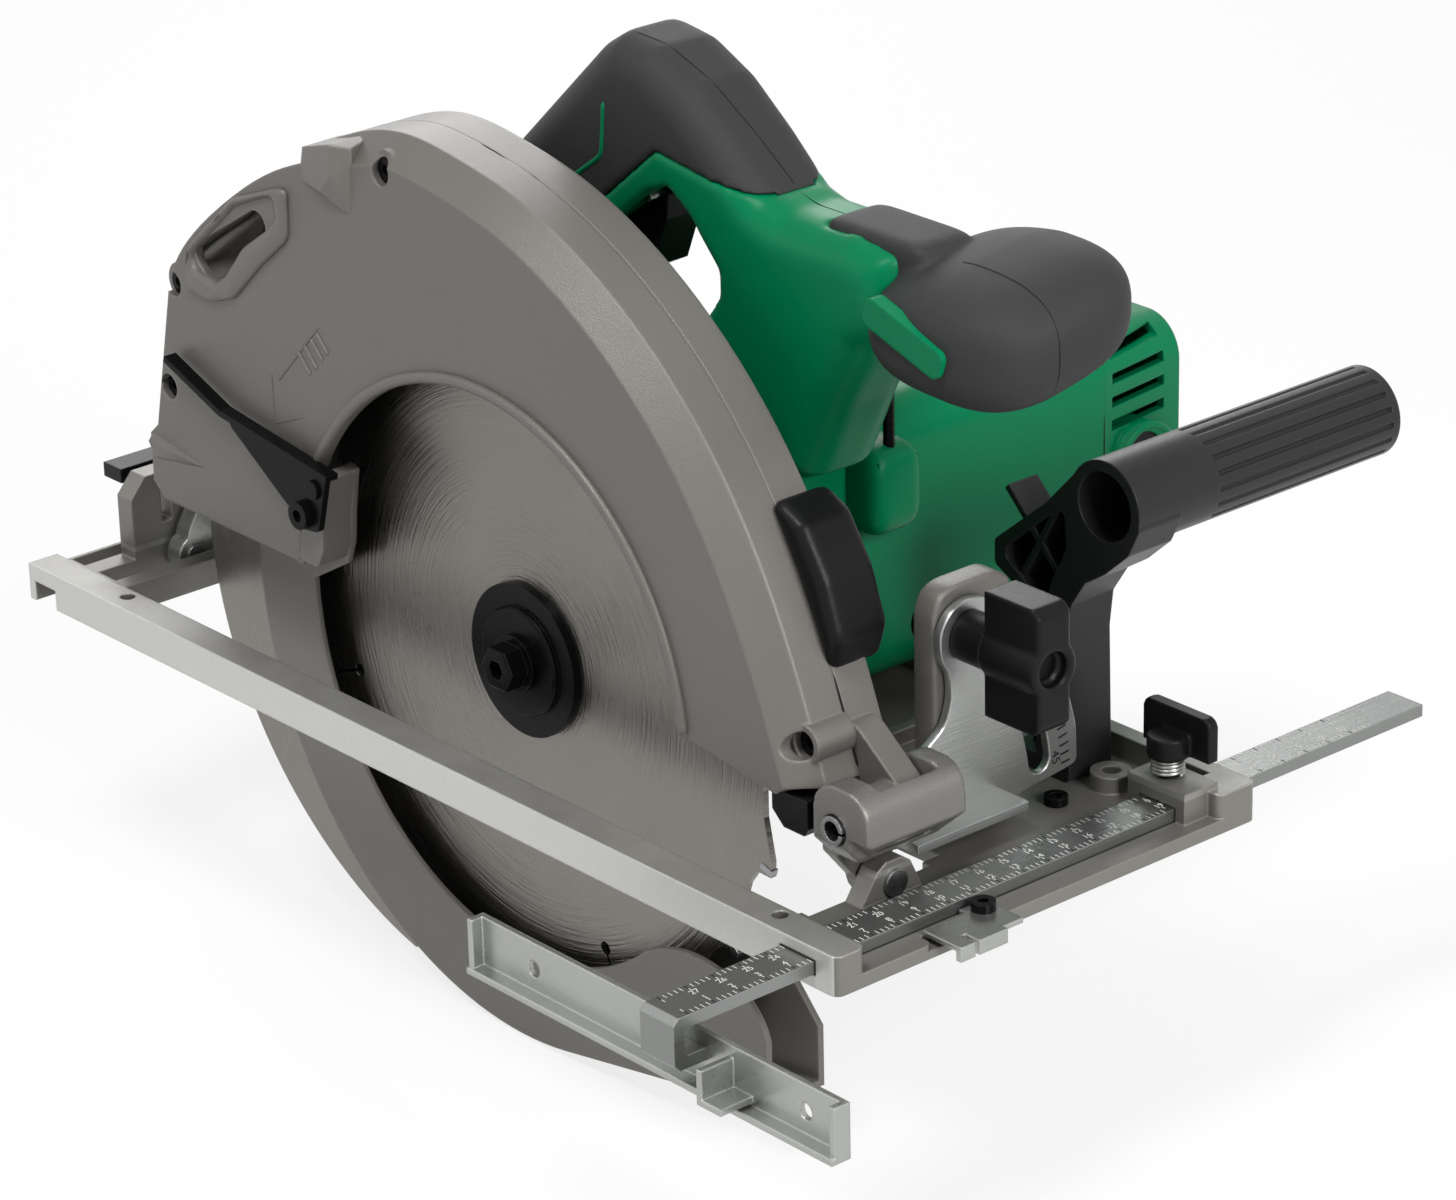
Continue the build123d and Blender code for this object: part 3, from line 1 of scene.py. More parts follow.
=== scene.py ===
"""Looks of a hand-held circular saw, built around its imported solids.

Frame in metres: +X is the cutting direction, +Y the motor side, +Z up, with the origin on the sole
under the rip fence bar. Every piece's place is in its mesh.
"""
from __future__ import annotations

import json
import logging
import math
from dataclasses import dataclass, field
from enum import Enum
from typing import Iterable, Sequence

import bmesh
import bpy
import numpy as np
from mathutils import Matrix, Vector
from mathutils.bvhtree import BVHTree

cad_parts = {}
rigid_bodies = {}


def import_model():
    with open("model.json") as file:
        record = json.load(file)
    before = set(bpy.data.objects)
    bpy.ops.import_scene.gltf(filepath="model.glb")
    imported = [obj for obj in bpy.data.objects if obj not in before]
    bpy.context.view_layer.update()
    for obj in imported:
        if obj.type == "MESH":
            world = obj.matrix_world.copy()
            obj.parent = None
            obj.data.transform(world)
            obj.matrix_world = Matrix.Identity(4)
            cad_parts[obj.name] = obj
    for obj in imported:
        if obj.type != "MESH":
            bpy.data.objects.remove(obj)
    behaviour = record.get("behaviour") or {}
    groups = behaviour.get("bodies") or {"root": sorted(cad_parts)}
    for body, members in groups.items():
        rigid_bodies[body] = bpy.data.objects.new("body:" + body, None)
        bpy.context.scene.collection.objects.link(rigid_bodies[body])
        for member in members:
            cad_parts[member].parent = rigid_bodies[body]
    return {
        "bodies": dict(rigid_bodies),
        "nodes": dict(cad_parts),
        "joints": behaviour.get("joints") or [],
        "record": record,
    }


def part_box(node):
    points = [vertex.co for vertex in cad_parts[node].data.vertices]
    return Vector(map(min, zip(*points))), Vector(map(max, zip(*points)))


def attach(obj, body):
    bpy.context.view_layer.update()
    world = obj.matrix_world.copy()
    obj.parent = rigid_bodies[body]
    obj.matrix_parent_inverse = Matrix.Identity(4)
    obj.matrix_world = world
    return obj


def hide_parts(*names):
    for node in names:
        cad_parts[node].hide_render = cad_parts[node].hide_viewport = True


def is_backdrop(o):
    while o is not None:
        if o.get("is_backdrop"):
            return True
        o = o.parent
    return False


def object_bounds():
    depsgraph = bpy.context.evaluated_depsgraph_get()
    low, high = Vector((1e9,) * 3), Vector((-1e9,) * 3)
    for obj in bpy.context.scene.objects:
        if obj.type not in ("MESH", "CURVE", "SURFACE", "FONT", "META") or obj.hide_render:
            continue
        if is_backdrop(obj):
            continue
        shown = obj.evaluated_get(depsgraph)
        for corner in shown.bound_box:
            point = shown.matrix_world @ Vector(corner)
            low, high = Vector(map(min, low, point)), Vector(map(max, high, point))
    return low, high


log = logging.getLogger("saw")
MM = 0.001
BAR_X = 173.5  # the fence bar's place along x, counted from the arbor, in millimetres
ARBOR_Z = 31.5
TILT_AXIS = (5.0, 9.0)
FLOOR_GAP = 0.001
LETTER_SHARE = 0.7  # height of a figure as a share of the text's size
Point = tuple[float, float, float]


def place(points: Sequence[Sequence[float]]) -> np.ndarray:
    """Turn millimetre points, with x counted from the arbor, into frame metres.

    Args:
        points: rows of x, y and z in millimetres.
    Returns:
        The same rows in metres, with x counted from the fence bar.
    """
    rows = np.asarray(points, float)
    return (rows - np.array([BAR_X, 0.0, 0.0])) * MM


# ---------------------------------------------------------------- surfaces
def grid_faces(rows: int, columns: int, wrap_rows: bool, wrap_columns: bool) -> np.ndarray:
    """Quads of a grid of points: each joins a point to its next row and column.

    Args:
        rows: number of rows.
        columns: number of columns.
        wrap_rows: whether the last row joins the first.
        wrap_columns: whether the last column joins the first.
    Returns:
        Index rows of four corners.
    """
    r = np.arange(rows if wrap_rows else rows - 1)
    c = np.arange(columns if wrap_columns else columns - 1)
    i, j = np.meshgrid(r, c, indexing="ij")
    i2, j2 = (i + 1) % rows, (j + 1) % columns
    corners = [i * columns + j, i2 * columns + j, i2 * columns + j2, i * columns + j2]
    return np.stack(corners, -1).reshape(-1, 4)


def linked(name: str, data: bpy.types.ID) -> bpy.types.Object:
    """Link a new object to the scene.

    Args:
        name: the object's name.
        data: its mesh, curve, lamp or camera.
    Returns:
        The object.
    """
    piece = bpy.data.objects.new(name, data)
    bpy.context.scene.collection.objects.link(piece)
    return piece


def mesh_piece(name: str, points: np.ndarray, faces: Iterable[Sequence[int]],
               smooth: bool = True) -> bpy.types.Object:
    """Make an object from points and faces, merge its doubles and turn its faces outwards.

    Args:
        name: the piece's name.
        points: rows of x, y and z in metres.
        faces: index rows.
        smooth: whether the faces are shaded smooth.
    Returns:
        The new object, linked to the scene.
    """
    data = bpy.data.meshes.new(name)
    data.from_pydata(points.reshape(-1, 3).tolist(), [], [list(map(int, f)) for f in faces])
    shape = bmesh.new()
    shape.from_mesh(data)
    bmesh.ops.remove_doubles(shape, verts=shape.verts, dist=1e-6)
    bmesh.ops.recalc_face_normals(shape, faces=shape.faces)
    shape.to_mesh(data)
    shape.free()
    data.polygons.foreach_set("use_smooth", np.full(len(data.polygons), smooth))
    return linked(name, data)


def unit(rows: np.ndarray) -> np.ndarray:
    """Rows scaled to length one."""
    return rows / np.maximum(np.linalg.norm(rows, axis=-1, keepdims=True), 1e-12)


def bead_arrays(path: np.ndarray, side: Sequence[float], radii: tuple[float, float], closed: bool,
                sides: int = 10) -> tuple[np.ndarray, np.ndarray]:
    """Points and quads of a round bead laid along a path.

    Each point is the path's point plus cos(t) times a half width across the path plus sin(t) times a
    half height along the side direction. An open bead has its radii brought to nothing at both ends
    as the square root of the distance, which rounds them off.

    Args:
        path: rows of x, y and z in metres.
        side: direction of the bead's height.
        radii: half width across and half height, in metres.
        closed: whether the path is a loop.
        sides: points round the bead.
    Returns:
        Points in rows, and quads.
    """
    count = len(path)
    if closed:
        along = unit(np.roll(path, -1, 0) - np.roll(path, 1, 0))
        share = np.ones(count)
    else:
        along = unit(np.gradient(path, axis=0))
        run = np.concatenate([[0.0], np.cumsum(np.linalg.norm(np.diff(path, axis=0), axis=1))])
        near = np.minimum(run, run[-1] - run) / max(radii)
        share = np.sqrt(np.clip(1 - (1 - np.clip(near, 0, 1)) ** 2, 0, 1))
    up = np.asarray(side, float)
    across = unit(np.cross(along, up))
    turn = np.linspace(0, 2 * np.pi, sides, endpoint=False)
    ring = (np.cos(turn)[None, :, None] * radii[0] * across[:, None, :]
            + np.sin(turn)[None, :, None] * radii[1] * up[None, None, :])
    points = path[:, None, :] + share[:, None, None] * ring
    return points.reshape(-1, 3), grid_faces(count, sides, closed, True)


def even_path(corners: np.ndarray, step: float, closed: bool = False) -> np.ndarray:
    """Points at an even step along straight runs between corners.

    Args:
        corners: rows of x, y and z in metres.
        step: distance between points, in metres.
        closed: whether the last corner joins the first.
    Returns:
        Rows of points.
    """
    rows = np.vstack([corners, corners[:1]]) if closed else np.asarray(corners, float)
    run = np.concatenate([[0.0], np.cumsum(np.linalg.norm(np.diff(rows, axis=0), axis=1))])
    count = max(int(run[-1] / step), 4)
    at = np.linspace(0, run[-1], count, endpoint=not closed)
    return np.stack([np.interp(at, run, rows[:, k]) for k in range(3)], -1)


def rounded(path: np.ndarray, passes: int, closed: bool) -> np.ndarray:
    """Ease a path's corners by replacing each point with the mean of itself and its neighbours.

    Args:
        path: rows of points.
        passes: how many times this is done.
        closed: whether the path is a loop.
    Returns:
        The eased rows, with the ends of an open path kept.
    """
    rows = path.copy()
    for _ in range(passes):
        mean = (np.roll(rows, 1, 0) + rows + np.roll(rows, -1, 0)) / 3
        if not closed:
            mean[0], mean[-1] = rows[0], rows[-1]
        rows = mean
    return rows


def bead(name: str, corners_mm: Sequence[Point], side: Point, width: float, height: float,
         closed: bool = False, ease: int = 2, step: float = 1.0) -> bpy.types.Object:
    """A round bead along corners given in millimetres.

    Args:
        name: the piece's name.
        corners_mm: corners of its path.
        side: direction of its height.
        width: half width in millimetres.
        height: half height in millimetres.
        closed: whether the path is a loop.
        ease: passes that round its corners.
        step: distance between points in millimetres.
    Returns:
        The bead's object.
    """
    path = rounded(even_path(place(corners_mm), step * MM, closed), ease, closed)
    points, faces = bead_arrays(path, side, (width * MM, height * MM), closed)
    return mesh_piece(name, points, faces)


def boxes_arrays(centres: np.ndarray, half: Sequence[float], turns: np.ndarray | None = None,
                 plane: tuple[int, int] = (0, 1)) -> tuple[np.ndarray, np.ndarray]:
    """Points and quads of many equal boxes.

    Each corner is the centre plus the half sizes with every choice of sign, turned in a plane.

    Args:
        centres: rows of centres in metres.
        half: half sizes along x, y and z in metres.
        turns: angle of each box in radians.
        plane: the two axes that the turn mixes.
    Returns:
        Points in rows, and quads.
    """
    signs = np.array([(x, y, z) for x in (-1, 1) for y in (-1, 1) for z in (-1, 1)], float)
    corners = np.repeat((signs * np.asarray(half))[None], len(centres), 0)
    if turns is not None:
        a, b = plane
        first, second = corners[..., a].copy(), corners[..., b].copy()
        cosine, sine = np.cos(turns)[:, None], np.sin(turns)[:, None]
        corners[..., a] = first * cosine - second * sine
        corners[..., b] = first * sine + second * cosine
    quads = np.array([(0, 1, 3, 2), (4, 6, 7, 5), (0, 4, 5, 1), (2, 3, 7, 6), (0, 2, 6, 4), (1, 5, 7, 3)])
    faces = quads[None] + 8 * np.arange(len(centres))[:, None, None]
    return (centres[:, None, :] + corners).reshape(-1, 3), faces.reshape(-1, 4)


def curve_mesh(name: str, curve: bpy.types.Curve) -> bpy.types.Mesh:
    """The mesh that a curve or a text makes.

    Args:
        name: the mesh's name.
        curve: the curve or text.
    Returns:
        The mesh, without materials.
    """
    holder = linked(name + "_curve", curve)
    bpy.context.view_layer.update()
    data = bpy.data.meshes.new_from_object(holder)
    bpy.data.objects.remove(holder)
    data.name = name
    data.materials.clear()
    return data


def words(name: str, text: str, size: float, centre: Point, across: Point, up: Point) -> bpy.types.Object:
    """Numbers as a thin mesh laid on a surface.

    Args:
        name: the piece's name.
        text: the number.
        size: letter height in millimetres.
        centre: centre of the number in millimetres, from the arbor.
        across: direction of reading.
        up: direction of the letters' tops.
    Returns:
        The mesh object, with its place in its mesh.
    """
    curve = bpy.data.curves.new(name, "FONT")
    curve.body, curve.size, curve.extrude = text, size * MM / LETTER_SHARE, 0.04 * MM
    curve.align_x, curve.align_y = "CENTER", "CENTER"
    data = curve_mesh(name, curve)
    x, y = Vector(across).normalized(), Vector(up).normalized()
    turn = Matrix((x, y, x.cross(y))).transposed().to_4x4()
    data.transform(Matrix.Translation(Vector(place([centre])[0])) @ turn)
    return linked(name, data)


def hull_piece(name: str, points: np.ndarray) -> bpy.types.Object:
    """The convex hull of a few points as a flat-sided piece.

    Args:
        name: the piece's name.
        points: rows of x, y and z in metres.
    Returns:
        The new object.
    """
    shape = bmesh.new()
    for point in points:
        shape.verts.new(point)
    bmesh.ops.convex_hull(shape, input=shape.verts)
    bmesh.ops.recalc_face_normals(shape, faces=shape.faces)
    data = bpy.data.meshes.new(name)
    shape.to_mesh(data)
    shape.free()
    return linked(name, data)


def outline_radii(corners: np.ndarray, centre: np.ndarray, angles: np.ndarray) -> np.ndarray:
    """Distance from a centre to a closed outline along each angle.

    Each side p + s (q - p) is met by the ray r (cos t, sin t); the nearest meeting with s from nought to
    one is kept.

    Args:
        corners: rows of two coordinates.
        centre: a point that sees the whole outline.
        angles: ray angles in radians.
    Returns:
        One distance for each angle.
    """
    start = corners - centre
    run = np.roll(corners, -1, 0) - corners
    ray = np.stack([np.cos(angles), np.sin(angles)], -1)[:, None, :]
    cross = ray[..., 0] * run[None, :, 1] - ray[..., 1] * run[None, :, 0]
    cross = np.where(np.abs(cross) < 1e-12, 1e-12, cross)
    reach = (start[None, :, 0] * run[None, :, 1] - start[None, :, 1] * run[None, :, 0]) / cross
    along = (start[None, :, 0] * ray[..., 1] - start[None, :, 1] * ray[..., 0]) / cross
    good = (along >= -1e-9) & (along <= 1 + 1e-9) & (reach > 0)
    return np.where(good, reach, np.inf).min(1)


def round_block(centre: Point, half: Point, powers: tuple[float, float], droop: float = 0.0,
                lean: float = 0.0, dip: float = 0.0, rows: int = 40,
                columns: int = 72) -> tuple[np.ndarray, np.ndarray]:
    """Points and quads of a rounded block, a superellipsoid.

    With u round the block and v from its bottom to its top, x = a c(u) c(v), y = b s(u) c(v) and
    z = h s(v), where c and s are the cosine and sine with their size raised to two over a power. The
    lower half sinks by the droop towards +x and -y, the whole rises by the lean towards +y, and the
    upper half sinks by the dip towards -x.

    Args:
        centre: its centre in millimetres, x from the arbor.
        half: half sizes in millimetres.
        powers: the power round the block and the power over it; two is an ellipsoid.
        droop: how far the lower front corner sinks, in millimetres.
        lean: how far the far side rises, in millimetres.
        dip: how far the top sinks at the rear, in millimetres.
        rows: points from bottom to top.
        columns: points round it.
    Returns:
        Points in metres, and quads.
    """
    u = np.linspace(-np.pi, np.pi, columns, endpoint=False)
    v = np.linspace(-np.pi / 2, np.pi / 2, rows)

    def eased(value: np.ndarray, power: float) -> np.ndarray:
        """The value with its size raised to two over the power."""
        return np.sign(value) * np.abs(value) ** (2.0 / power)

    level = eased(np.cos(v), powers[1])[:, None]
    x = eased(np.cos(u), powers[0])[None] * level
    y = eased(np.sin(u), powers[0])[None] * level
    z = np.repeat(eased(np.sin(v), powers[1])[:, None], columns, 1)
    sink = droop * (0.5 + 0.5 * x) * (0.5 - 0.5 * y) * np.clip(0.4 - z, 0, 1)
    sink = sink - lean * y + dip * np.clip(-x, 0, 1) * np.clip(z + 0.4, 0, 1)
    points = np.stack([centre[0] + half[0] * x, centre[1] + half[1] * y,
                       centre[2] + half[2] * z - sink], -1)
    return place(points.reshape(-1, 3)), grid_faces(rows, columns, False, True)


def draped(target: bpy.types.Object, starts: np.ndarray, ways: np.ndarray) -> np.ndarray:
    """Points where rays meet a piece; a ray that misses is left out.

    Args:
        target: the piece.
        starts: rows of ray starts in metres.
        ways: rows of ray directions.
    Returns:
        Rows of meeting points.
    """
    shape = bmesh.new()
    shape.from_mesh(target.data)
    tree = BVHTree.FromBMesh(shape)
    hits = [tree.ray_cast(Vector(a), Vector(b).normalized())[0] for a, b in zip(starts, ways)]
    shape.free()
    return np.array([tuple(h) for h in hits if h is not None])


def vertex_rows(data: bpy.types.Mesh) -> np.ndarray:
    """A mesh's points.

    Args:
        data: the mesh.
    Returns:
        Rows of x, y and z in metres.
    """
    rows = np.empty(len(data.vertices) * 3)
    data.vertices.foreach_get("co", rows)
    return rows.reshape(-1, 3)


def store_rows(data: bpy.types.Mesh, rows: np.ndarray) -> None:
    """Put rows of x, y and z back into a mesh."""
    data.vertices.foreach_set("co", rows.reshape(-1))
    data.update()


def softened(node: bpy.types.Object, name: str, voxel: float, passes: int,
             inset: float = 0.0) -> bpy.types.Object:
    """A rounded copy of a solid: merged, remeshed into small cells and smoothed.

    Args:
        node: the solid's object.
        name: the new piece's name.
        voxel: cell size in millimetres.
        passes: smoothing passes.
        inset: millimetres by which the surface is then drawn in along its normals.
    Returns:
        The new object.
    """
    data = node.data.copy()
    data.name = name
    shape = bmesh.new()
    shape.from_mesh(data)
    bmesh.ops.remove_doubles(shape, verts=shape.verts, dist=1e-6)
    shape.to_mesh(data)
    shape.free()
    piece = linked(name, data)
    remesh = piece.modifiers.new("cells", "REMESH")
    remesh.mode, remesh.voxel_size, remesh.use_smooth_shade = "VOXEL", voxel * MM, True
    ease = piece.modifiers.new("ease", "SMOOTH")
    ease.factor, ease.iterations = 0.5, passes
    graph = bpy.context.evaluated_depsgraph_get()
    final = bpy.data.meshes.new_from_object(piece.evaluated_get(graph))
    piece.modifiers.clear()
    piece.data = final
    final.materials.clear()
    rows = vertex_rows(final)
    normals = np.empty(len(final.vertices) * 3)
    final.vertex_normals.foreach_get("vector", normals)
    store_rows(final, rows - normals.reshape(-1, 3) * inset * MM)
    final.polygons.foreach_set("use_smooth", np.ones(len(final.polygons), bool))
    return piece


# ---------------------------------------------------------------- shader expressions
class Wire:
    """A shader value that can be added, multiplied and compared like a number."""

    def __init__(self, bench: "Bench", socket: bpy.types.NodeSocket) -> None:
        """Keep the tree's bench and the socket."""
        self.bench, self.socket = bench, socket

    def _math(self, operation: str, *values: "Wire | float") -> "Wire":
        """Add a Math node.

        Args:
            operation: the node's operation.
            values: its inputs.
        Returns:
            The node's value.
        """
        return self.bench.add("ShaderNodeMath", {"operation": operation}, dict(enumerate(values)))

    def __add__(self, other: "Wire | float") -> "Wire":
        """Sum."""
        return self._math("ADD", self, other)

    __radd__ = __add__

    def __mul__(self, other: "Wire | float") -> "Wire":
        """Product."""
        return self._math("MULTIPLY", self, other)

    __rmul__ = __mul__

    def __sub__(self, other: "Wire | float") -> "Wire":
        """Difference."""
        return self._math("SUBTRACT", self, other)

    def __rsub__(self, other: "Wire | float") -> "Wire":
        """Reflected difference."""
        return self._math("SUBTRACT", other, self)

    def __pow__(self, other: "Wire | float") -> "Wire":
        """Power."""
        return self._math("POWER", self, other)

    def clipped(self) -> "Wire":
        """The value kept between nought and one."""
        return self._math("MINIMUM", self._math("MAXIMUM", self, 0.0), 1.0)


class Bench:
    """Builds the nodes of one tree."""

    def __init__(self, tree: bpy.types.NodeTree) -> None:
        """Keep the tree."""
        self.tree = tree

    def node(self, kind: str, settings: dict | None = None, inputs: dict | None = None) -> bpy.types.Node:
        """Add a node, set its settings first and then its inputs.

        Args:
            kind: the node's type.
            settings: properties by name.
            inputs: values or wires by socket name or number.
        Returns:
            The node.
        """
        node = self.tree.nodes.new(kind)
        for key, value in (settings or {}).items():
            setattr(node, key, value)
        for key, value in (inputs or {}).items():
            self.feed(node.inputs[key], value)
        return node

    def add(self, kind: str, settings: dict | None = None, inputs: dict | None = None,
            output: int | str = 0) -> Wire:
        """One output of a new node."""
        return Wire(self, self.node(kind, settings, inputs).outputs[output])

    def parts(self, where: Wire) -> list[Wire]:
        """The x, y and z of a place."""
        return [Wire(self, socket) for socket in self.node("ShaderNodeSeparateXYZ", {}, {0: where}).outputs]

    def feed(self, socket: bpy.types.NodeSocket, value: object) -> None:
        """Link a wire to a socket, or set the socket's value.

        Args:
            socket: the input.
            value: a wire, a number or a colour.
        """
        if isinstance(value, Wire):
            self.tree.links.new(value.socket, socket)
        else:
            socket.default_value = value

    def found(self, kind: str) -> bpy.types.Node:
        """The tree's node of a type that is already there."""
        return next(node for node in self.tree.nodes if node.type == kind)

    def blend(self, factor: Wire | float, low: object, high: object) -> Wire:
        """Mix two colours by a factor."""
        return self.add("ShaderNodeMix", {"data_type": "RGBA"}, {0: factor, 6: low, 7: high}, 2)

    def noise(self, where: Wire, scale: float, detail: float = 3.0, rough: float = 0.55) -> Wire:
        """Noise value at a place."""
        return self.add("ShaderNodeTexNoise", {}, {"Vector": where, "Scale": scale, "Detail": detail,
                                                   "Roughness": rough}, "Fac")


Colour = tuple[float, float, float, float]


def material_bench(name: str) -> tuple[bpy.types.Material, Bench, bpy.types.Node]:
    """Start a material.

    Args:
        name: the material's name.
    Returns:
        The material, its bench and its Principled shader.
    """
    material = bpy.data.materials.new(name)
    material.use_nodes = True
    bench = Bench(material.node_tree)
    return material, bench, bench.found("BSDF_PRINCIPLED")


def rgb(red: float, green: float, blue: float) -> Colour:
    """A colour from 0 to 255 screen values, as linear light."""
    line = [((c / 255 + 0.055) / 1.055) ** 2.4 if c > 10.3 else c / 255 / 12.92 for c in (red, green, blue)]
    return (*line, 1.0)


def shade(colour: Sequence[float], gain: float) -> Colour:
    """A colour made lighter or darker by a gain."""
    return (*[min(1.0, c * gain) for c in colour[:3]], 1.0)


class Grain(Enum):
    """How a surface was worked."""

    EVEN = "even"
    ALONG_X = "along_x"
    ALONG_Y = "along_y"
    CIRCLES = "circles"


@dataclass(frozen=True)
class Finish:
    """A surface finish: its colour, gloss, grain, and edges painted lighter, which is wear and also a
    painted highlight.
    """

    name: str
    colour: Colour
    metallic: float = 0.0
    roughness: float = 0.45
    spread: float = 0.08
    grain: Grain = Grain.EVEN
    grain_size: float = 900.0
    grain_depth: float = 0.05
    mottling: float = 0.06
    edge_gain: float = 1.6
    edge_radius: float = 0.8
    coat: float = 0.0
    specular: float = 0.5
    centre: tuple[float, float] = (-BAR_X * MM, ARBOR_Z * MM)
    stretch: float = 0.02
    ring_step: float = 0.002
    broad_size: float = 28.0
    edge_sharpness: float = 2.6
    coat_roughness: float = 0.2

    def _pattern(self, bench: Bench, where: Wire) -> Wire:
        """Value of the working marks: fine noise, noise stretched along a line, or noise in rings.

        Args:
            bench: the material's bench.
            where: object coordinates.
        Returns:
            A value from nought to one.
        """
        if self.grain is Grain.ALONG_X:
            where = bench.add("ShaderNodeMapping", {}, {"Vector": where, "Scale": (self.stretch, 1.0, 1.0)})
        elif self.grain is Grain.ALONG_Y:
            where = bench.add("ShaderNodeMapping", {}, {"Vector": where, "Scale": (1.0, self.stretch, 1.0)})
        elif self.grain is Grain.CIRCLES:
            x, _, z = bench.parts(where)
            x, z = x - self.centre[0], z - self.centre[1]
            radius = (x * x + z * z) ** 0.5
            angle = bench.add("ShaderNodeMath", {"operation": "ARCTAN2"}, {0: z, 1: x})
            where = bench.add("ShaderNodeCombineXYZ", {}, {"X": radius, "Y": angle * self.ring_step})
        return bench.noise(where, self.grain_size, 4.0, 0.6)

    def _over(self, bench: Bench, where: Wire, marks: Wire, colour: Wire) -> Wire:
        """What lies over the worn colour: nothing here."""
        return colour

    def build(self) -> bpy.types.Material:
        """Make the material: mottled colour, edges painted lighter as wear and as a painted highlight,
        worked grain, and eased edges.

        Returns:
            The material.
        """
        material, bench, shader = material_bench(self.name)
        where = bench.add("ShaderNodeTexCoord", {}, {}, "Object")
        marks = self._pattern(bench, where)
        broad = bench.noise(where, self.broad_size, 3.0)
        eased = bench.add("ShaderNodeBevel", {"samples": 4}, {"Radius": self.edge_radius * MM})
        true_normal = bench.add("ShaderNodeNewGeometry", {}, {}, "Normal")
        match = bench.add("ShaderNodeVectorMath", {"operation": "DOT_PRODUCT"}, {0: eased, 1: true_normal},
                          "Value")
        # Edges, where the eased normal turns away from the true one, are painted lighter by the edge gain:
        # partly wear, partly a painted highlight.
        edge = ((1.0 - match) * self.edge_sharpness).clipped() * (0.45 + 0.55 * broad)
        contrast = 4 * self.mottling
        tone = (0.5 + (broad - 0.5) * 2.0 * contrast + (marks - 0.5) * contrast).clipped()
        depth = 1.6 * self.mottling
        body = bench.blend(tone, shade(self.colour, 1 - depth), shade(self.colour, 1 + depth))
        lightened = bench.blend(edge, body, shade(self.colour, self.edge_gain))
        gloss = self.roughness + (marks - 0.5) * self.spread * 2 + (broad - 0.5) * self.spread
        bump = bench.add("ShaderNodeBump", {}, {"Strength": self.grain_depth, "Distance": MM,
                                               "Height": marks, "Normal": eased})
        for socket, value in (("Base Color", self._over(bench, where, marks, lightened)),
                              ("Roughness", gloss.clipped()), ("Normal", bump), ("Metallic", self.metallic),
                              ("Coat Weight", self.coat), ("Coat Roughness", self.coat_roughness),
                              ("Specular IOR Level", self.specular)):
            bench.feed(shader.inputs[socket], value)
        return material


@dataclass(frozen=True)
class RailFinish(Finish):
    """Painted casting with a light bare-metal colour on its whole near side, standing for machined metal and
    also a painted highlight on that side, and in worn patches on its rim tops.
    """

    bare: Colour = rgb(196, 196, 192)
    near_y: float = -0.0448
    rim_z: float = 0.0122
    rim_rise: float = 0.002
    border: float = 6000.0

    def _over(self, bench: Bench, where: Wire, marks: Wire, colour: Wire) -> Wire:
        """Light bare metal over the whole near side, which is also a painted highlight on that side, and in
        worn patches on the rim tops.

        Args:
            bench: the material's bench.
            where: object coordinates.
            marks: value of the working marks.
            colour: the paint.
        Returns:
            The paint with the bare metal and the painted highlight over it.
        """
        _, y, height = bench.parts(where)
        # The near side is painted in the lighter bare colour: machined metal, and also a painted highlight
        # on the side that faces the lamps.
        side = ((self.near_y - y) * self.border).clipped()
        top = (((height - self.rim_z) * self.border).clipped()
               * ((self.rim_z + self.rim_rise - height) * self.border).clipped())
        lightened = 0.05 + 0.4 * bench.noise(where, 60.0, 4.0)
        metal = bench.blend(marks, shade(self.bare, 0.8), shade(self.bare, 1.15))
        return bench.blend((side + top * lightened).clipped(), colour, metal)
